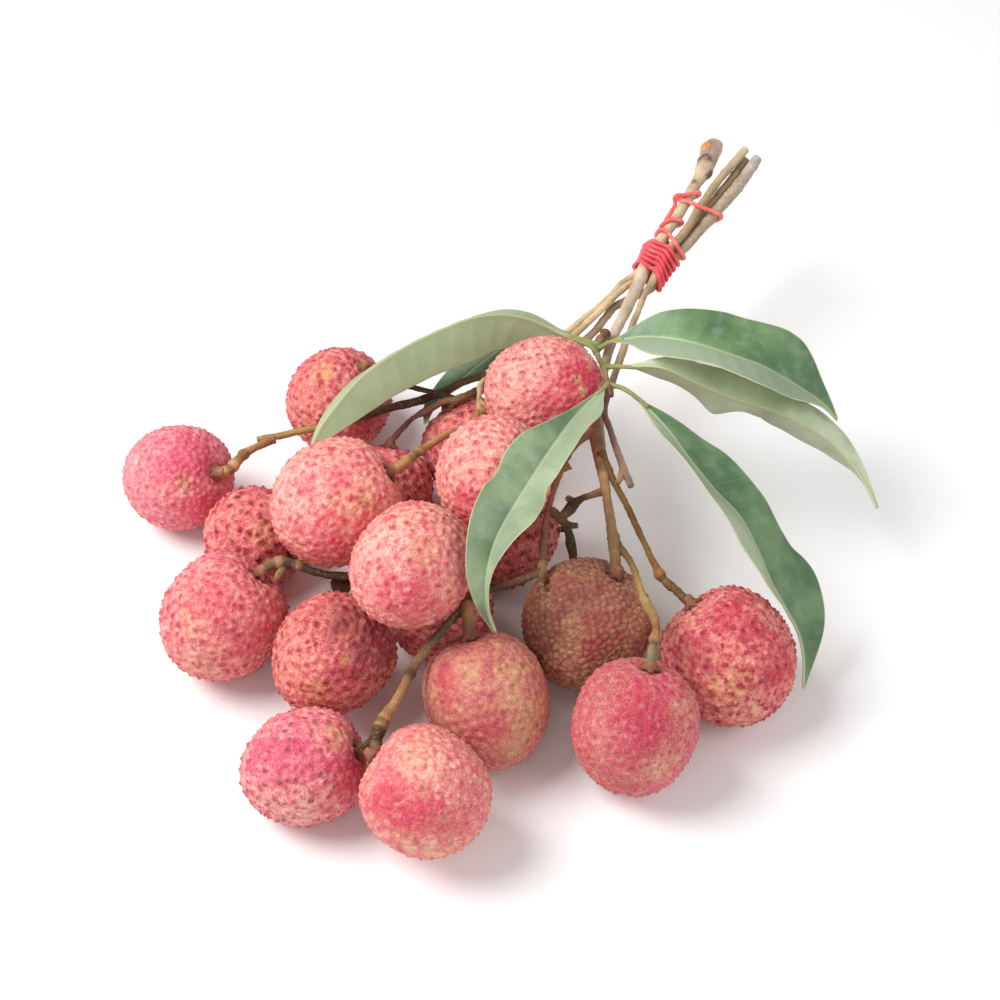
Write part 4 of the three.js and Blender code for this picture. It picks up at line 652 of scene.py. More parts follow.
# ---- light -------------------------------------------------------------------------------
WORLD_LIGHT = 0.36
LIGHTS = [  # name, place in m, size in m, power in W
    ("key", (-0.55, 0.0, 0.72), 0.65, 9.1),
    ("fill", (0.7, -0.3, 0.6), 0.7, 2.6),
    ("front", (-0.2, -0.9, 0.6), 0.8, 1.6),
]
LIGHT_AIM = Vector((0, 0, 0.03))
FLOOR_HALF = 3.0  # m
FLOOR_LOW = 0.00005  # m

# ---- helpers -----------------------------------------------------------------------------
CLOUD_CELLS = 24
CLOUD_FROM = 100.0  # keeps places in the random grid positive


def linear(text):
    """A colour written as it looks on a screen, as linear light."""
    parts = [int(text[i:i + 2], 16) / 255 for i in (0, 2, 4)]
    return np.array([p / 12.92 if p <= 0.04045 else ((p + 0.055) / 1.055) ** 2.4 for p in parts])


def unit(vectors):
    vectors = np.asarray(vectors, float)
    return vectors / np.linalg.norm(vectors, axis=-1, keepdims=True)


def smooth(value, low, high):
    """0 below low, 1 above high and an even rise between."""
    t = np.clip((value - low) / (high - low), 0, 1)
    return t * t * (3 - 2 * t)


def blend(under, over, mask):
    return under * (1 - mask) + over * mask


def bell(value, width):
    return np.exp(-(value / width) ** 2)


def by_column(rule, table):
    """A rule used on each column of a table, as a table again."""
    return np.stack([rule(column) for column in np.asarray(table, float).T], axis=1)


def cloud(points, size, seed):
    """Smooth random values from 0 to 1 that change over about `size` mm."""
    grid = np.random.default_rng(seed).random((CLOUD_CELLS,) * 3)
    place = np.asarray(points, float) / size + CLOUD_FROM
    low = np.floor(place).astype(int)
    part = place - low
    part = part * part * (3 - 2 * part)
    total = np.zeros(len(place))
    for corner in itertools.product((0, 1), repeat=3):
        weight = np.where(np.array(corner) == 1, part, 1 - part).prod(axis=1)
        cell = (low + np.array(corner)) % CLOUD_CELLS
        total += weight * grid[cell[:, 0], cell[:, 1], cell[:, 2]]
    return total


def to_part(points):
    return (np.asarray(points, float) + LAYOUT_TO_PART) * MM


def spline(points, t):
    """Places on a smooth curve through the points (centripetal Catmull-Rom), at t from 0 to 1."""
    p = np.asarray(points, float)
    p = np.vstack([2 * p[0] - p[1], p, 2 * p[-1] - p[-2]])
    place = np.asarray(t, float) * (len(p) - 3)
    i = np.minimum(place.astype(int), len(p) - 4)
    w = (place - i)[:, None]
    x0, x1, x2, x3 = p[i], p[i + 1], p[i + 2], p[i + 3]
    pairs = ((x0, x1), (x1, x2), (x2, x3))
    d0, d1, d2 = (np.sqrt(np.linalg.norm(b - a, axis=1))[:, None] for a, b in pairs)
    m1 = ((x1 - x0) / d0 - (x2 - x0) / (d0 + d1) + (x2 - x1) / d1) * d1
    m2 = ((x2 - x1) / d1 - (x3 - x1) / (d1 + d2) + (x3 - x2) / d2) * d1
    bend = -3 * x1 + 3 * x2 - 2 * m1 - m2 + w * (2 * x1 - 2 * x2 + m1 + m2)
    return x1 + w * (m1 + w * bend)


def even(points, count):
    """`count` places evenly spaced along the spline, with their t and the length so far."""
    fine = np.linspace(0, 1, 60 * len(points))
    path = spline(points, fine)
    gone = np.concatenate([[0], np.cumsum(np.linalg.norm(np.diff(path, axis=0), axis=1))])
    wanted = np.linspace(0, gone[-1], count)
    t = np.interp(wanted, gone, fine)
    return spline(points, t), t, wanted


def steady_frames(path, first):
    """Two directions square to the path at each of its points, turning as little as they can."""
    tangent = unit(np.gradient(path, axis=0))
    across = np.empty_like(path)
    normal = np.asarray(first, float)
    for i, along in enumerate(tangent):
        normal = unit(normal - along * normal.dot(along))
        across[i] = normal
    return across, np.cross(tangent, across), tangent


def link(name, data):
    """An object in the scene."""
    thing = bpy.data.objects.new(name, data)
    bpy.context.scene.collection.objects.link(thing)
    return thing


def make_piece(name, node, points, faces, fields, material):
    """A mesh in the part's frame, with values stored on its points, that stands for a CAD node."""
    mesh = bpy.data.meshes.new(name)
    mesh.from_pydata(to_part(points).tolist(), [], faces)
    for field, values in fields.items():
        kind, store = "FLOAT_VECTOR", "vector"
        values = np.asarray(values, np.float32)
        if values.ndim == 1:
            kind, store = "FLOAT", "value"
        elif field.endswith("Colour"):
            kind, store = "FLOAT_COLOR", "color"
            values = np.column_stack([values, np.ones(len(values), np.float32)])
        mesh.attributes.new(field, kind, "POINT").data.foreach_set(store, values.ravel())
    mesh.polygons.foreach_set("use_smooth", [True] * len(mesh.polygons))
    mesh.materials.append(material)
    mesh.validate()
    piece = link(name, mesh)
    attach(piece, "root")
    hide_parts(node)


class Paint:
    """A material of nodes that end in one Principled shader."""

    def __init__(self, name, roughness, specular):
        self.material = bpy.data.materials.new(name)
        self.material.use_nodes = True
        self.nodes = self.material.node_tree.nodes
        self.links = self.material.node_tree.links
        self.shader = self.nodes["Principled BSDF"]
        self.shader.inputs["Roughness"].default_value = roughness
        self.shader.inputs["Specular IOR Level"].default_value = specular
        self.spot = self.nodes.new("ShaderNodeTexCoord").outputs["Object"]

    def plug(self, socket, value):
        if isinstance(value, bpy.types.NodeSocket):
            self.links.new(value, socket)
        elif isinstance(value, str):
            socket.default_value = (*linear(value), 1)
        else:
            socket.default_value = value

    def node(self, kind, inputs, output=0, **settings):
        """The output of a new node, with its settings and with values or links in its inputs."""
        node = self.nodes.new("ShaderNode" + kind)
        for setting, value in settings.items():
            setattr(node, setting, value)
        for socket, value in inputs.items():
            self.plug(node.inputs[socket], value)
        return node.outputs[output]

    def field(self, name, output="Fac"):
        return self.node("Attribute", {}, output, attribute_name=name)

    def noise(self, scale, detail, vector=None):
        inputs = {"Scale": scale, "Detail": detail, "Vector": vector or self.spot}
        return self.node("TexNoise", inputs, "Fac")

    def cells(self, scale, feature):
        inputs = {"Scale": scale, "Vector": self.spot}
        return self.node("TexVoronoi", inputs, "Distance", feature=feature)

    def band(self, value, low, high):
        """0 where the value is at low, 1 where it is at high, with an even rise between."""
        inputs = {"Value": value, "From Min": low, "From Max": high}
        return self.node("MapRange", inputs, "Result", interpolation_type="SMOOTHSTEP")

    def math(self, operation, *values):
        return self.node("Math", dict(enumerate(values)), operation=operation)

    def times(self, one, other):
        return self.math("MULTIPLY", one, other)

    def add(self, one, other):
        return self.math("ADD", one, other)

    def less(self, one, other):
        return self.math("SUBTRACT", one, other)

    def mix(self, factor, under, over, blend_type="MIX"):
        inputs = {0: factor, 6: under, 7: over}
        return self.node("Mix", inputs, 2, data_type="RGBA", blend_type=blend_type)

    def lay(self, mask, strength, under, over, blend_type="MIX"):
        """A colour over another, by a mask times a strength."""
        return self.mix(self.times(mask, strength), under, over, blend_type)

    def bump(self, height, distance_mm, strength):
        node = self.nodes.new("ShaderNodeBump")
        node.inputs["Strength"].default_value = strength
        node.inputs["Distance"].default_value = distance_mm * MM
        self.plug(node.inputs["Height"], height)
        normal = self.shader.inputs["Normal"]
        if normal.is_linked:
            self.links.new(normal.links[0].from_socket, node.inputs["Normal"])
        self.links.new(node.outputs["Normal"], normal)

    def finish(self, color):
        self.plug(self.shader.inputs["Base Color"], color)
        return self.material


# ---- lychees -----------------------------------------------------------------------------
def geodesic(cuts):
    """Unit directions and triangles of an icosahedron whose faces are cut evenly."""
    ball = bmesh.new()
    bmesh.ops.create_icosphere(ball, subdivisions=1, radius=1)
    bmesh.ops.subdivide_edges(ball, edges=ball.edges[:], cuts=cuts - 1, use_grid_fill=True)
    bmesh.ops.triangulate(ball, faces=ball.faces[:])
    directions = unit([v.co[:] for v in ball.verts])
    ball.verts.index_update()
    faces = [[v.index for v in f.verts] for f in ball.faces]
    ball.free()
    return directions, faces


def scattered(count, rng):
    """Directions spread over a sphere at nearly even distances, with no rows."""
    rank = np.arange(count) + 0.5
    height = 1 - 2 * rank / count
    turn = rank * math.pi * (3 - math.sqrt(5))
    ring = np.sqrt(1 - height ** 2)
    places = np.stack([ring * np.cos(turn), height, ring * np.sin(turn)], axis=1)
    spacing = math.sqrt(4 * math.pi / count)
    return unit(places + rng.normal(size=places.shape) * spacing * BUMP_JITTER)


def rind_shape(directions, fruit):
    """The hollows between the bumps: a blunt heart, square-shouldered round the stalk at +Y."""
    c = directions[:, 1]
    broad = 1 + 0.02 * c
    power = 2 + 0.4 * np.sqrt(np.maximum(c, 0))
    around = np.sqrt(np.maximum(0, 1 - c * c))
    square = (around ** power + np.abs(c) ** power) ** (-1 / power)
    dimple = DIMPLE_DEPTH * np.exp(-(1 - c) / DIMPLE_WIDE)
    scale = square * (1 - (dimple + BUMP_SUNK) / fruit["half"])
    round_ = fruit["round"] * broad * scale
    return directions * np.stack([round_, fruit["half"] * scale, round_], axis=1)


def seen_angle(facing, right, up):
    """The angle from each direction to a place on a fruit as the camera sees it."""
    near = math.sqrt(max(0.0, 1 - right * right - up * up))
    seen = unit(right * SEEN_RIGHT + up * SEEN_UP + near * SEEN_NEAR)
    return np.arccos(np.clip(facing @ seen, -1, 1))


def rind_relief(directions, fruit, look, rng):
    """Height of the bumps, how near each point is to a bump's tip and a crease, and its colour."""
    spacing = look.get("spacing", BUMP_SPACING)
    count = int(4 * math.pi * (fruit["round"] / spacing) ** 2)
    centres = scattered(count, rng)
    size = rng.uniform(0.5, 1.2, count)
    kind = rng.random(count)
    closeness = directions.astype(np.float32) @ centres.T.astype(np.float32)
    nearest = closeness.argmax(axis=1)
    two = np.partition(closeness, count - 2, axis=1)[:, -2:]
    second, first = np.arccos(np.clip(two.T, -1, 1)) * fruit["round"] / spacing
    tip = np.clip(1 - first / BUMP_REACH, 0, 1)
    crease = bell(second - first, CREASE_REACH)
    cone = 0.5 * tip ** 1.2 + 0.5 * bell(first, POINT_REACH)
    height = look.get("tall", BUMP_TALL) * size[nearest] * cone
    height += look.get("plate", PLATE_TALL) * smooth(second - first, 0.0, PLATE_EDGE)
    height -= look.get("groove", CREASE_DEEP) * crease
    shares = np.cumsum([share for _, share in look["tips"]])
    chosen = np.minimum(np.searchsorted(shares, kind), len(shares) - 1)
    palette = np.array([linear(colour) for colour, _ in look["tips"]])
    tip = tip * np.clip(size, 0.6, 1.1)[nearest]
    return height, tip, crease, palette[chosen][nearest]


def rind_colours(places, facing, look, seed):
    """The colour between the bumps, cloudy and in patches, and where it is flushed crimson."""
    shade = np.tile(linear(look["ground"]), (len(places), 1))
    flushed = np.zeros(len(places))
    clouds = [cloud(places, size, seed + k) for k, size in enumerate(CLOUD_SIZES)]
    broad, middle, fine, ochre_broad, ochre_middle, finest = clouds
    for key, veil, low, strength in (
        ("flush", 0.35 * broad + 0.35 * middle + 0.3 * fine, 0.66, 0.8),
        ("ochre", 0.35 * ochre_broad + 0.35 * ochre_middle + 0.3 * fine, 0.7, 0.75),
    ):
        colour, much = look[key]
        low -= 0.3 * much
        mask = smooth(veil, low, low + VEIL_SOFT) * strength
        shade = blend(shade, linear(colour), mask[:, None])
    ragged = 0.4 * middle + 0.35 * fine + 0.25 * finest
    for right, up, size, colour, strength in look.get("patches", []):
        off = seen_angle(facing, right, up) / size
        mask = smooth(1.2 - off + (ragged - 0.5) * 1.6, 0, 0.9) * strength
        shade = blend(shade, linear(colour), mask[:, None])
        crimson = linear(colour)[1] < CRIMSON_GREEN
        flushed = np.maximum(flushed, mask) if crimson else flushed * (1 - mask)
    return shade, flushed


def rind_paint(name, look):
    paint = Paint(name, roughness=0.62, specular=0.3)
    tip = paint.field("Tip")
    flushed = paint.field("Flushed")
    calm = paint.less(1.0, paint.times(flushed, 0.8))
    fewer = paint.less(1.0, paint.times(flushed, 0.5))
    grain = paint.noise(GRAIN_SCALE, 2)
    grit = paint.noise(GRIT_SCALE, 3)
    blotch = paint.noise(BLOTCH_SCALE, 4)
    red, light = look["tips"][0][0], look["light"]
    color = paint.field("GroundColour", "Color")
    # small red and pale blotches
    color = paint.lay(paint.band(blotch, 0.5, 0.6), look["mottle"], color, red)
    cream = paint.times(paint.band(blotch, 0.46, 0.36), look["cream"])
    color = paint.lay(cream, calm, color, light)
    # the grain of the rind: pale points, red points and a fine pale net
    pale = paint.times(paint.band(grain, 0.5, 0.64), look["pale"] * 1.15)
    color = paint.lay(pale, calm, color, light)
    color = paint.lay(paint.band(grit, 0.5, 0.34), 0.5, color, red)
    edge = paint.cells(NET_SCALE, "DISTANCE_TO_EDGE")
    net = paint.times(paint.band(edge, 0.12, 0.03), 0.6 * look["pale"])
    color = paint.lay(net, calm, color, light)
    # a ragged darker spot around each bump
    ragged = paint.times(paint.less(grit, 0.5), 1.3)
    uneven = paint.times(paint.less(blotch, 0.5), 1.8)
    rough_tip = paint.add(tip, paint.add(ragged, uneven))
    halo = paint.times(paint.band(rough_tip, 0.18, 0.8), look["halo"])
    color = paint.lay(halo, fewer, color, paint.field("TipColour", "Color"))
    colour, strength = look["apex"]
    color = paint.lay(paint.band(rough_tip, 0.72, 1.0), strength, color, colour)
    # painted shade in the creases between the plates
    crease_shade = look.get("crease_shade_colour", "a8484a")
    color = paint.lay(paint.field("Crease"), look.get("crease_shade", 0.14), color, crease_shade)
    paint.bump(grit, 0.3, 0.6)
    paint.bump(grain, 0.2, 0.6)
    return paint.finish(color)


def make_lychee(number, fruit, directions, faces):
    name = "lychee_%02d" % number
    look = LOOKS[number]
    rng = np.random.default_rng(number)
    height, tip, crease, tip_colour = rind_relief(directions, fruit, look, rng)
    up = Vector((0, 1, 0)).rotation_difference(Vector(fruit["stalk"]))
    turn = np.array(up.to_matrix())
    facing = directions @ turn.T
    swell = (cloud(directions * fruit["round"], SWELL_WIDE, number + 500) - 0.5) * SWELL_TALL
    for right, up, size, amount in look.get("bulges", []):
        swell += amount * bell(seen_angle(facing, right, up), size)
    places = rind_shape(directions, fruit) @ turn.T + facing * (height + swell)[:, None]
    colours, flushed = rind_colours(places, facing, look, number * 10)
    points = places + np.array(fruit["at"])
    floor = -LAYOUT_TO_PART[2]
    points[:, 2] = np.maximum(points[:, 2], floor)
    fields = dict(
        GroundColour=colours, TipColour=tip_colour, Tip=tip, Crease=crease, Flushed=flushed,
    )
    make_piece(name + "_fine", name, points, faces, fields, rind_paint(name + "_rind", look))


# ---- stems -------------------------------------------------------------------------------
def in_bundle(station, right, up):
    """A place in the bundle of cut ends as x, y, z in the layout."""
    return BUNDLE_AT + station * BUNDLE_ALONG + right * BUNDLE_RIGHT + up * BUNDLE_UP


def fruit_top(number, above):
    """A place on a fruit's stalk line, above the bottom of the hollow there, and its direction."""
    fruit = FRUITS[number - 1]
    stalk = unit(fruit["stalk"])
    top = fruit["half"] - DIMPLE_DEPTH - BUMP_SUNK
    return np.array(fruit["at"]) + stalk * (top + above), stalk


def limb_points(limb):
    """[x, y, z, radius] along a limb: its stick of the bundle, its path, then on into its fruit."""
    stick = STICKS.get(limb.get("stick"), [])
    points = [[*in_bundle(s, right, up), radius] for s, right, up, radius in stick]
    points += [[x, y, z, radius * limb.get("thin", 1)] for x, y, z, radius in limb["path"]]
    if "to" in limb:
        end, _ = fruit_top(limb["to"], -STALK_SUNK)
        points.append([*end, points[-1][3] * STALK_NARROW])
    return np.array(points, float)


def tube(points, sides, spacing, flare=0.0, rough=0.0, seed=0, marks=()):
    """A round limb through [x, y, z, radius] points, with closed ends.

    Returns its points and faces and, for each point, the length so far, the place round it and
    how near it is to a cut end. A flare widens its foot, roughness is bark."""
    knots = np.asarray(points, float)
    total = np.linalg.norm(np.diff(knots[:, :3], axis=0), axis=1).sum()
    count = max(6, int(total / spacing))
    path, t, gone = even(knots[:, :3], count)
    radius = np.interp(t * (len(knots) - 1), np.arange(len(knots)), knots[:, 3])
    soft = np.convolve(np.pad(radius, 2, "edge"), [0.1, 0.2, 0.4, 0.2, 0.1], "valid")
    radius = soft * (1 + flare * np.exp(-gone / FLARE_REACH))
    across, over, tangent = steady_frames(path, SEEN_NEAR)
    # the first and the last ring stand twice, narrower at the very end
    ring = np.concatenate([[0], np.arange(count), [count - 1]])
    middle = path[ring]
    middle[1] += tangent[0] * LIP
    middle[-1] += tangent[-1] * LIP
    wide = radius[ring]
    wide[[0, -1]] *= LIP_NARROW
    angle = np.arange(sides) / sides * 2 * math.pi
    way = np.cos(angle)[:, None] * across[ring][:, None] + np.sin(angle)[:, None] * over[ring][:, None]
    places = middle[:, None] + wide[:, None, None] * way
    centre = middle[[0, -1]]
    places = np.vstack([places.reshape(-1, 3), centre])
    lengths = np.concatenate([np.repeat(gone[ring], sides), gone[[0, -1]]])
    angles = np.concatenate([np.tile(angle, len(ring)), [0, 0]])
    ends = np.ones(len(places))
    ends[sides:-sides - 2] = 0
    outward = places - np.vstack([np.repeat(middle, sides, axis=0), centre])
    reach = np.linalg.norm(outward, axis=1, keepdims=True)
    outward = outward / np.maximum(reach, 1e-6)
    lift = (cloud(places, 1.5, seed) - 0.5) * rough + (cloud(places, 0.7, seed + 1) - 0.5) * rough * 0.6
    tint = np.zeros((len(places), 4))
    for length, degrees, long, wide, height, colour, strength in marks:
        turn = (angles - math.radians(degrees) + math.pi) % (2 * math.pi) - math.pi
        off = np.hypot((lengths - length) / long, turn * reach[:, 0] / wide)
        lift += height * bell(off, 1)
        mask = smooth(MARK_EDGE - off, 0, MARK_SOFT) * strength
        tint[:, :3] = blend(tint[:, :3], linear(colour), mask[:, None])
        tint[:, 3] = np.maximum(tint[:, 3] * (1 - mask), mask)
    places = places + outward * (lift * (1 - ends))[:, None]
    faces = []
    last = (len(ring) - 1) * sides
    for k in range(0, last, sides):
        for j in range(sides):
            here, there = k + j, k + (j + 1) % sides
            faces.append([here, there, there + sides, here + sides])
    first_middle = last + sides
    for j in range(sides):
        faces.append([first_middle, (j + 1) % sides, j])
        faces.append([first_middle + 1, last + j, last + (j + 1) % sides])
    grain = np.stack([np.cos(angles) * reach[:, 0], np.sin(angles) * reach[:, 0], lengths], axis=1)
    return dict(
        points=places, faces=faces, length=lengths, angle=angles, end=ends, tint=tint, grain=grain,
        total=gone[-1],
    )


class Bark:
    """Woody parts gathered into one mesh, with the values that bark_paint reads."""

    def __init__(self):
        self.points, self.faces, self.fields = [], [], {}
        self.count = 0

    def add(self, part, shade, speckle=0.0, end=0.0):
        self.points.append(part["points"])
        self.faces += [[i + self.count for i in face] for face in part["faces"]]
        none = np.zeros(len(part["points"]))
        self.count += len(none)
        values = dict(BarkColour=shade, Grain=part["grain"], End=none + end, Speckle=none + speckle)
        for field, more in values.items():
            self.fields.setdefault(field, []).append(more)

    def piece(self, name, node):
        fields = {field: np.concatenate(values) for field, values in self.fields.items()}
        material = bark_paint(name.replace("_fine", "") + "_bark")
        make_piece(name, node, np.vstack(self.points), self.faces, fields, material)


def bark_colours(part, tones, seed):
    """Bark from the limb's foot to its end, cloudy, with its marks."""
    along = part["length"] / part["total"]
    stops = [linear(tone) for tone in tones.split()]
    place = np.linspace(0, 1, len(stops))
    shade = by_column(lambda column: np.interp(along, place, column), stops)
    points = part["points"]
    shade *= (0.82 + 0.36 * cloud(points, 3.2, seed))[:, None]
    dark = smooth(cloud(points, 5.5, seed + 7), 0.6, 0.85)[:, None] * 0.35
    shade = blend(shade, linear("4d3a2a"), dark)
    return shade * (1 - part["tint"][:, 3:]) + part["tint"][:, :3]


def bark_paint(name):
    paint = Paint(name, roughness=0.72, specular=0.25)
    speckle = paint.field("Speckle")
    stretch = {0: paint.field("Grain", "Vector"), 1: (1.0, 1.0, 0.16)}
    streak = paint.noise(3.2, 3, paint.node("VectorMath", stretch, operation="MULTIPLY"))
    color = paint.field("BarkColour", "Color")
    color = paint.lay(paint.band(streak, 0.45, 0.75), 0.3, color, "6e543a", "MULTIPLY")
    color = paint.lay(paint.band(paint.noise(1500, 2), 0.56, 0.66), speckle, color, "ecdcc6")
    color = paint.lay(paint.band(paint.cells(900, "F1"), 0.16, 0.06), speckle, color, "4e382a")
    wood = paint.mix(paint.noise(2500, 2), "bc9e7c", "94765a")
    color = paint.mix(paint.field("End"), color, wood)
    paint.bump(streak, 0.25, 0.6)
    paint.bump(paint.noise(2600, 2), 0.15, 0.5)
    return paint.finish(color)


def collar(number, seed):
    """The dry, five-lobed calyx and the swollen foot of the stalk where it enters its fruit."""
    rng = np.random.default_rng(seed)
    foot, stalk = fruit_top(number, COLLAR_ABOVE)
    points = [[*(foot + stalk * height), radius] for height, radius in COLLAR_RINGS]
    ring = tube(points, COLLAR_SIDES, COLLAR_STEP, rough=0.5, seed=seed)
    low = smooth(1.6 - ring["length"], 0, 1.2)
    lobes = 1 + low * COLLAR_LOBE * np.cos(5 * ring["angle"] + rng.uniform(0, 6))
    middle = foot + stalk * ((ring["points"] - foot) @ stalk)[:, None]
    ring["points"] = middle + (ring["points"] - middle) * lobes[:, None]
    return ring


def make_stem(stem_number, name, speckle, tones, limbs):
    bark = Bark()
    for number, limb in enumerate(limbs):
        seed = stem_number * 100 + number * 7
        points = limb_points(limb)
        sides = THICK_SIDES if points[:, 3].mean() > THICK_LIMB else THIN_SIDES
        flare = 0 if "stick" in limb else FLARE
        rings = [(length, 0, long, ALL_ROUND, *rest) for length, long, *rest in limb.get("rings", [])]
        marks = limb.get("marks", []) + rings
        part = tube(points, sides, LIMB_RING, flare, BARK_ROUGH, seed, marks)
        shade = bark_colours(part, limb.get("tones", tones), seed)
        rough = smooth(limb.get("rough_end", 0) - part["length"], 0, 8) * 0.5
        bark.add(part, shade, np.maximum(rough, speckle), part["end"])
        if "to" in limb:
            ring = collar(limb["to"], seed + 3)
            bark.add(ring, bark_colours(ring, COLLAR_TONES, seed + 4))
    if name == BRACT["stem"]:
        blade = blade_mesh(BRACT, BRACT_STEPS, BRACT_ACROSS, BRACT_THICK)
        # the bract's dark brown is partly its own dry colour and partly painted shade, where it lies
        # deep under the fruit
        shade = np.tile(linear("4a3a28"), (len(blade["points"]), 1))
        shade *= (0.6 + 0.8 * cloud(blade["points"], 1.5, 77))[:, None]
        bark.add({**blade, "grain": blade["points"]}, shade)
    bark.piece(name + "_fine", name)


# ---- rubber band -------------------------------------------------------------------------
def stick_at(stick, station):
    """A stick's right, up and radius at a station, or None once the band is clear of its end."""
    knots = np.array(stick, float)[::-1]
    if station > knots[-1, 0] + STICK_PAST:
        return None
    return np.array([np.interp(station, knots[:, 0], knots[:, k]) for k in (1, 2, 3)])


def beside(stick, station, degrees, lift=0.0):
    """Where the middle of the stretched band runs on one side of a stick."""
    right, up, radius = stick
    out = radius + BAND_CLEAR + BAND_THICK / 2 + lift
    angle = math.radians(degrees)
    return in_bundle(station, right + out * math.cos(angle), up + out * math.sin(angle))


def band_place(station, degrees):
    """A place on a tight turn, which bears on the stick that stands out there."""
    angle = math.radians(degrees)
    sticks = [s for s in (stick_at(stick, station) for stick in STICKS.values()) if s is not None]
    best = max(sticks, key=lambda s: s[0] * math.cos(angle) + s[1] * math.sin(angle) + s[2])
    return beside(best, station, degrees)


def half_turn(first, last, degrees):
    """Places along half a turn of the band, level where it crosses both edges."""
    turned = np.arange(BAND_STEPS) / BAND_STEPS * math.pi
    stations = first + (last - first) * (1 - np.cos(turned)) / 2
    return [band_place(s, degrees - math.degrees(a)) for s, a in zip(stations, turned)]


def smooth_curve(places, steps):
    """A Catmull-Rom curve through places."""
    knots = np.vstack([2 * places[0] - places[1], places, 2 * places[-1] - places[-2]])
    curve = []
    for a, b, c, d in zip(knots, knots[1:], knots[2:], knots[3:]):
        for u in np.arange(steps) / steps:
            square = (2 * a - 5 * b + 4 * c - d) * u ** 2
            cube = (3 * b - a - 3 * c + d) * u ** 3
            curve.append(0.5 * (2 * b + (c - a) * u + square + cube))
    return np.array(curve + [places[-1]])


def band_paint():
    paint = Paint("band_rubber", roughness=0.42, specular=0.45)
    loose = paint.field("Loose")
    deep, pale = (paint.mix(loose, *pair) for pair in (("ee4654", "f8605e"), ("f66870", "ff9088")))
    color = paint.mix(paint.band(paint.noise(260, 2), 0.35, 0.7), deep, pale)
    color = paint.lay(paint.band(paint.noise(1800, 2), 0.5, 0.8), 0.2, color, "c23a40")
    paint.bump(paint.noise(1500, 2), 0.12, 0.5)
    return paint.finish(color)


def make_band():
    coil = []
    for turn in range(BAND_TURNS):
        left = BAND_LEFT[1] + BAND_LEFT[2] * turn
        right = BAND_RIGHT[1] + BAND_RIGHT[2] * turn
        coil += half_turn(left, right, BAND_LEFT[0])
        if turn < BAND_TURNS - 1:
            coil += half_turn(right, left + BAND_LEFT[2], BAND_RIGHT[0])
    loose = [
        beside(stick_at(STICKS[stick], station), station, degrees, lift)
        for station, stick, degrees, lift in BAND_LOOSE
    ]
    loose = smooth_curve(np.array([coil[-1]] + loose), LOOSE_STEPS)
    path, _, _ = even(np.vstack([coil[:-1], loose]), BAND_POINTS)
    kernel = np.ones(BAND_EASE) / BAND_EASE
    edge = BAND_EASE // 2
    eased = by_column(lambda column: np.convolve(np.pad(column, edge, "edge"), kernel, "valid"), path)
    points = np.column_stack([eased, np.full(len(eased), BAND_THICK / 2)])
    cord = tube(points, CORD_SIDES, CORD_RING, rough=CORD_ROUGH, seed=900)
    fields = dict(Loose=smooth(cord["length"], BAND_TIGHT - BAND_FADE, BAND_TIGHT + BAND_FADE))
    make_piece("rubber_band_fine", "rubber_band", cord["points"], cord["faces"], fields, band_paint())


# ---- leaf --------------------------------------------------------------------------------
def ease(values, reach):
    """A row of values with its corners rounded over reach values to each side."""
    reach = max(1, reach)
    kernel = np.hanning(2 * reach + 3)
    padded = np.pad(values, reach + 1, "reflect", reflect_type="odd")
    return np.convolve(padded, kernel / kernel.sum(), "valid")


def half_width(widths, t):
    """The width of one half of a blade at each t, from its widths at even steps, eased."""
    wide = np.interp(t, np.linspace(0, 1, len(widths)), widths)
    return np.maximum(ease(wide, len(t) // 24), BLADE_LEAST)


def side_directions(choices, t, tangent):
    """The way one half of a blade leaves the midrib at each t, square to the midrib."""
    place = t * (len(choices) - 1)
    way = by_column(lambda column: np.interp(place, np.arange(len(choices)), column), choices)
    way -= tangent * np.sum(way * tangent, axis=1, keepdims=True)
    return unit(way)


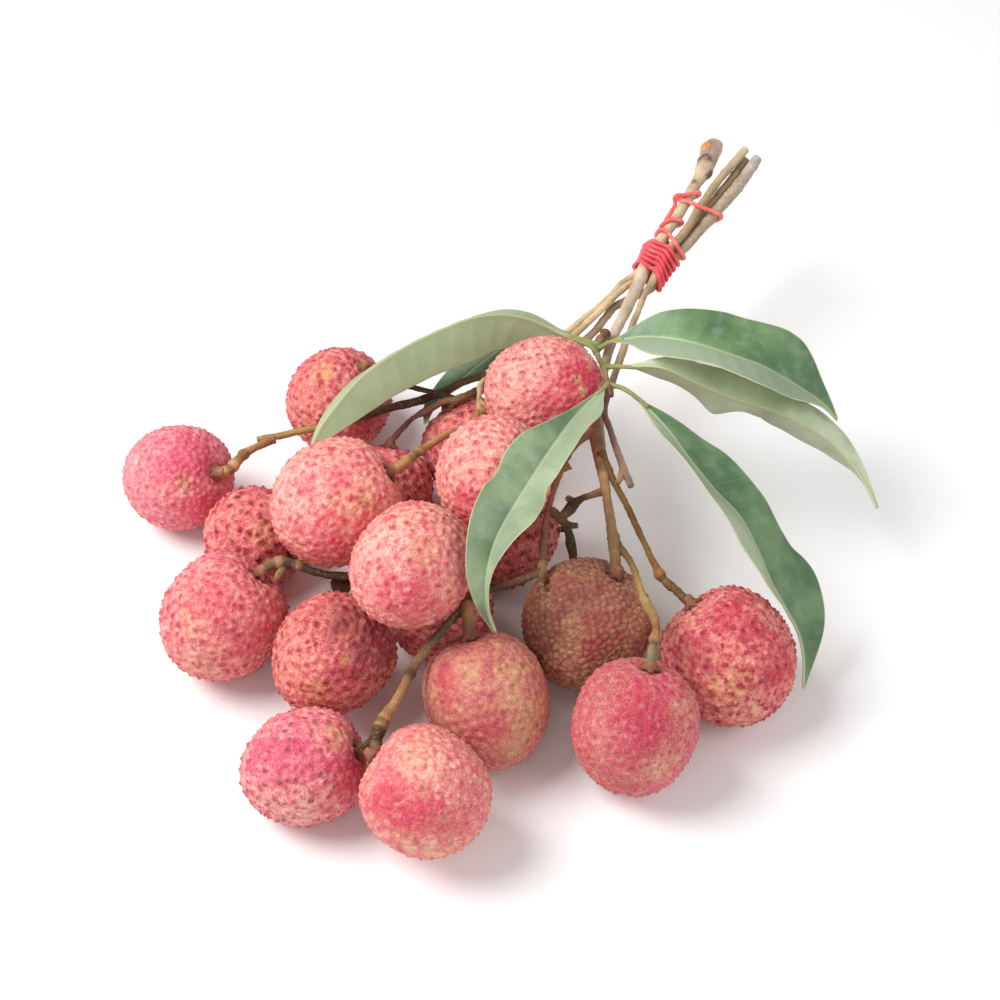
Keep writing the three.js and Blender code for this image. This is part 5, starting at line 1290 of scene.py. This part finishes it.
def blade_mesh(leaflet, steps, across, thick):
    """A leaflet as a closed skin with a rim: the upper face, then the same points underneath.

    Each point knows its distance from the midrib, how far along the blade it is and its distance
    from the margin, as `blade`, and whether it is on the upper face."""
    t = np.linspace(0, 1, steps + 1)
    rib, _, _ = even(leaflet["rib"], steps + 1)
    tangent = unit(np.gradient(rib, axis=0))
    # the halves of a blade that bends sharply leave its midrib square to an eased midrib
    eased = unit(by_column(lambda column: ease(column, leaflet.get("ease", 1)), tangent))
    left, right = (side_directions(leaflet[side], t, eased) for side in ("left", "right"))
    wide_left, wide_right = (half_width(leaflet[side], t) for side in ("wide_left", "wide_right"))
    up = unit(np.cross(tangent, left) - np.cross(tangent, right))
    groove_tall, groove_wide = RIB_GROOVE
    ridge_tall, ridge_wide = RIB_RIDGE
    upper, lower, values = [], [], []
    for s in np.concatenate([-across[:0:-1], across]):
        out = abs(s)
        side, way, wide = (-1, left, wide_left) if s < 0 else (1, right, wide_right)
        blend_in = smooth(out, 0, 0.12)
        normal = unit(-side * np.cross(tangent, way) * blend_in + up * (1 - blend_in))
        phase = leaflet["phase"] + (0 if s < 0 else RIGHT_PHASE)
        free = out * out * np.minimum(1, wide / 8)
        ripple = leaflet["wave"] * free * np.sin(2 * math.pi * leaflet["waves"] * t + phase)
        bend = leaflet["curl"] * free * np.sin(math.pi * t)
        distance = out * wide
        # the blade swells a little between its side veins
        vein = t * VEIN_PAIRS - VEIN_LEAN * out ** 1.3 + (0.5 if s > 0 else 0)
        quilt = QUILT * np.cos(2 * math.pi * vein) * smooth(out, 0.06, 0.3) * smooth(1 - out, 0, 0.25)
        quilt = quilt * np.sin(math.pi * t) ** 0.5
        groove = -groove_tall * bell(distance, groove_wide)
        ridge = ridge_tall * bell(distance, ridge_wide) * (1 - 0.6 * t)
        if leaflet.get("turned"):
            groove, ridge = ridge, groove
        middle = rib + way * distance[:, None] + normal * (ripple + bend + quilt)[:, None]
        half = thick / 2 * (1 - MARGIN_THIN * out)
        upper.append(middle + normal * (half + groove)[:, None])
        lower.append(middle - normal * (half + ridge)[:, None])
        values.append(np.stack([side * distance, t, wide - distance], axis=1))
    columns = len(values)
    top, below, blade = (np.stack(part, axis=1).reshape(-1, 3) for part in (upper, lower, values))
    count = len(top)
    faces = []
    for i in range(steps):
        for j in range(columns - 1):
            a = i * columns + j
            b, c, d = a + 1, a + columns + 1, a + columns
            faces.append([a, d, c, b])
            faces.append([a + count, b + count, c + count, d + count])
    rim = list(range(columns))
    rim += [i * columns + columns - 1 for i in range(1, steps + 1)]
    rim += [steps * columns + j for j in range(columns - 2, -1, -1)]
    rim += [i * columns for i in range(steps - 1, 0, -1)]
    for here, there in zip(rim, rim[1:] + rim[:1]):
        faces.append([here, there, there + count, here + count])
    face = np.repeat([0.0, 1.0] if leaflet.get("turned") else [1.0, 0.0], count)
    return dict(points=np.vstack([top, below]), faces=faces, blade=np.vstack([blade, blade]), face=face)


def blade_paint(name, look):
    paint = Paint(name, roughness=0.42, specular=0.5)
    blade = paint.field("Blade", "Vector")
    off, along, margin = (paint.node("SeparateXYZ", {0: blade}, k) for k in range(3))
    reach = paint.math("ABSOLUTE", off)
    upper = paint.field("Face")
    broad = paint.noise(70, 2)
    middle = paint.noise(260, 3)
    # the upper face: two greens, then painted sheen: the half that lies toward the light is painted
    # paler, and cloudy patches of painted sheen lie over it
    top = paint.mix(paint.band(broad, 0.35, 0.65), look["dark"], look["green"])
    edge = 1.0 if look["sheen_side"] == "right" else -1.0
    top = paint.lay(paint.band(off, -edge, edge), look["sheen_much"], top, look["pale"])
    top = paint.lay(paint.band(middle, 0.45, 0.75), look.get("cloud", 0.3), top, look["sheen"])
    top = paint.lay(paint.band(paint.noise(1300, 3), 0.5, 0.8), 0.18, top, "2f5a38")
    # the lower face
    low = paint.mix(paint.band(broad, 0.3, 0.7), look["under"], look["under_pale"])
    low = paint.lay(paint.band(paint.noise(1700, 1), 0.66, 0.74), 0.25, low, "a0585a")
    # veins: the midrib, and side veins that leave it toward the tip
    swing = paint.times(paint.math("POWER", reach, 1.15), 0.034)
    side = paint.times(paint.band(off, -0.01, 0.01), 0.5)
    place = paint.add(paint.less(paint.times(along, VEIN_PAIRS), swing), side)
    saw = paint.math("ABSOLUTE", paint.less(paint.math("FRACT", place), 0.5))
    vein = paint.times(paint.band(saw, 0.44, 0.5), paint.band(margin, 0.3, 3.5))
    top = paint.lay(vein, 0.14, top, look["vein"])
    low = paint.lay(vein, 0.2, low, look["under_vein"])
    color = paint.mix(upper, low, top)
    rib = paint.mix(upper, look["under_vein"], look["rib"])
    color = paint.lay(paint.band(reach, 0.65, 0.15), 0.65, color, rib)
    color = paint.lay(paint.band(margin, 0.28, 0.08), 0.7, color, "cfcb98")
    net = paint.cells(900, "DISTANCE_TO_EDGE")
    paint.bump(paint.band(net, 0.0, 0.12), 0.06, 0.35)
    paint.bump(vein, 0.1, -0.5)
    # the lower face is duller
    dull = paint.times(paint.less(1.0, upper), 0.22)
    rough = paint.add(paint.times(middle, 0.16), 0.34)
    paint.plug(paint.shader.inputs["Roughness"], paint.add(rough, dull))
    return paint.finish(color)


def make_leaf():
    for leaflet in LEAFLETS:
        name = leaflet["name"]
        blade = blade_mesh(leaflet, BLADE_STEPS, BLADE_ACROSS, BLADE_THICK)
        fields = dict(Blade=blade["blade"], Face=blade["face"])
        paint = blade_paint(name + "_blade", leaflet["look"])
        make_piece(name, "leaf", blade["points"], blade["faces"], fields, paint)
    bark = Bark()
    for number, path in enumerate(LEAF_STALKS):
        part = tube(path, STALK_SIDES, LIMB_RING, STALK_FLARE, STALK_ROUGH, 700 + number)
        tones = STALK_TONES if number else LEAF_STALK_TONES
        bark.add(part, bark_colours(part, tones, 710 + number), STALK_SPECKLE)
    bark.piece("leaf_stalk", "leaf")


# ---- floor, light and camera -------------------------------------------------------------
def make_floor():
    mesh = bpy.data.meshes.new("floor")
    corners = [(-1, -1, 0), (1, -1, 0), (1, 1, 0), (-1, 1, 0)]
    mesh.from_pydata((np.array(corners) * FLOOR_HALF).tolist(), [], [[0, 1, 2, 3]])
    floor = link("floor", mesh)
    floor.location.z = -FLOOR_LOW
    paint = Paint("floor_paper", roughness=0.9, specular=0.1)
    mesh.materials.append(paint.finish(paint.mix(paint.noise(6, 2), "f6f6f6", "fafafa")))


def make_light(name, place, size, power):
    light = bpy.data.lights.new(name, "AREA")
    light.shape = "DISK"
    light.size = size
    light.energy = power
    holder = link(name, light)
    holder.location = place
    holder.rotation_euler = (LIGHT_AIM - Vector(place)).to_track_quat("-Z", "Y").to_euler()


def make_world():
    world = bpy.data.worlds.new("studio")
    bpy.context.scene.world = world
    world.use_nodes = True
    background = world.node_tree.nodes["Background"]
    background.inputs["Color"].default_value = (1, 1, 1, 1)
    background.inputs["Strength"].default_value = WORLD_LIGHT


def make_camera():
    camera = bpy.data.cameras.new("camera")
    camera.sensor_width = SENSOR_WIDTH
    camera.lens = LENS
    camera.clip_start = CAMERA_NEAREST
    holder = link("camera", camera)
    holder.location = to_part(CAMERA_TARGET + SEEN_NEAR * CAMERA_DISTANCE)
    holder.rotation_euler = Matrix((SEEN_RIGHT, SEEN_UP, SEEN_NEAR)).transposed().to_euler()
    bpy.context.scene.camera = holder


make_camera()
make_world()
make_floor()
for light in LIGHTS:
    make_light(*light)
sphere_directions, sphere_faces = geodesic(SPHERE_CUTS)
for number, fruit in enumerate(FRUITS, 1):
    make_lychee(number, fruit, sphere_directions, sphere_faces)
for number, stem in enumerate(STEMS, 1):
    make_stem(number, *stem)
make_band()
make_leaf()

bpy.context.scene.view_settings.view_transform = "Standard"
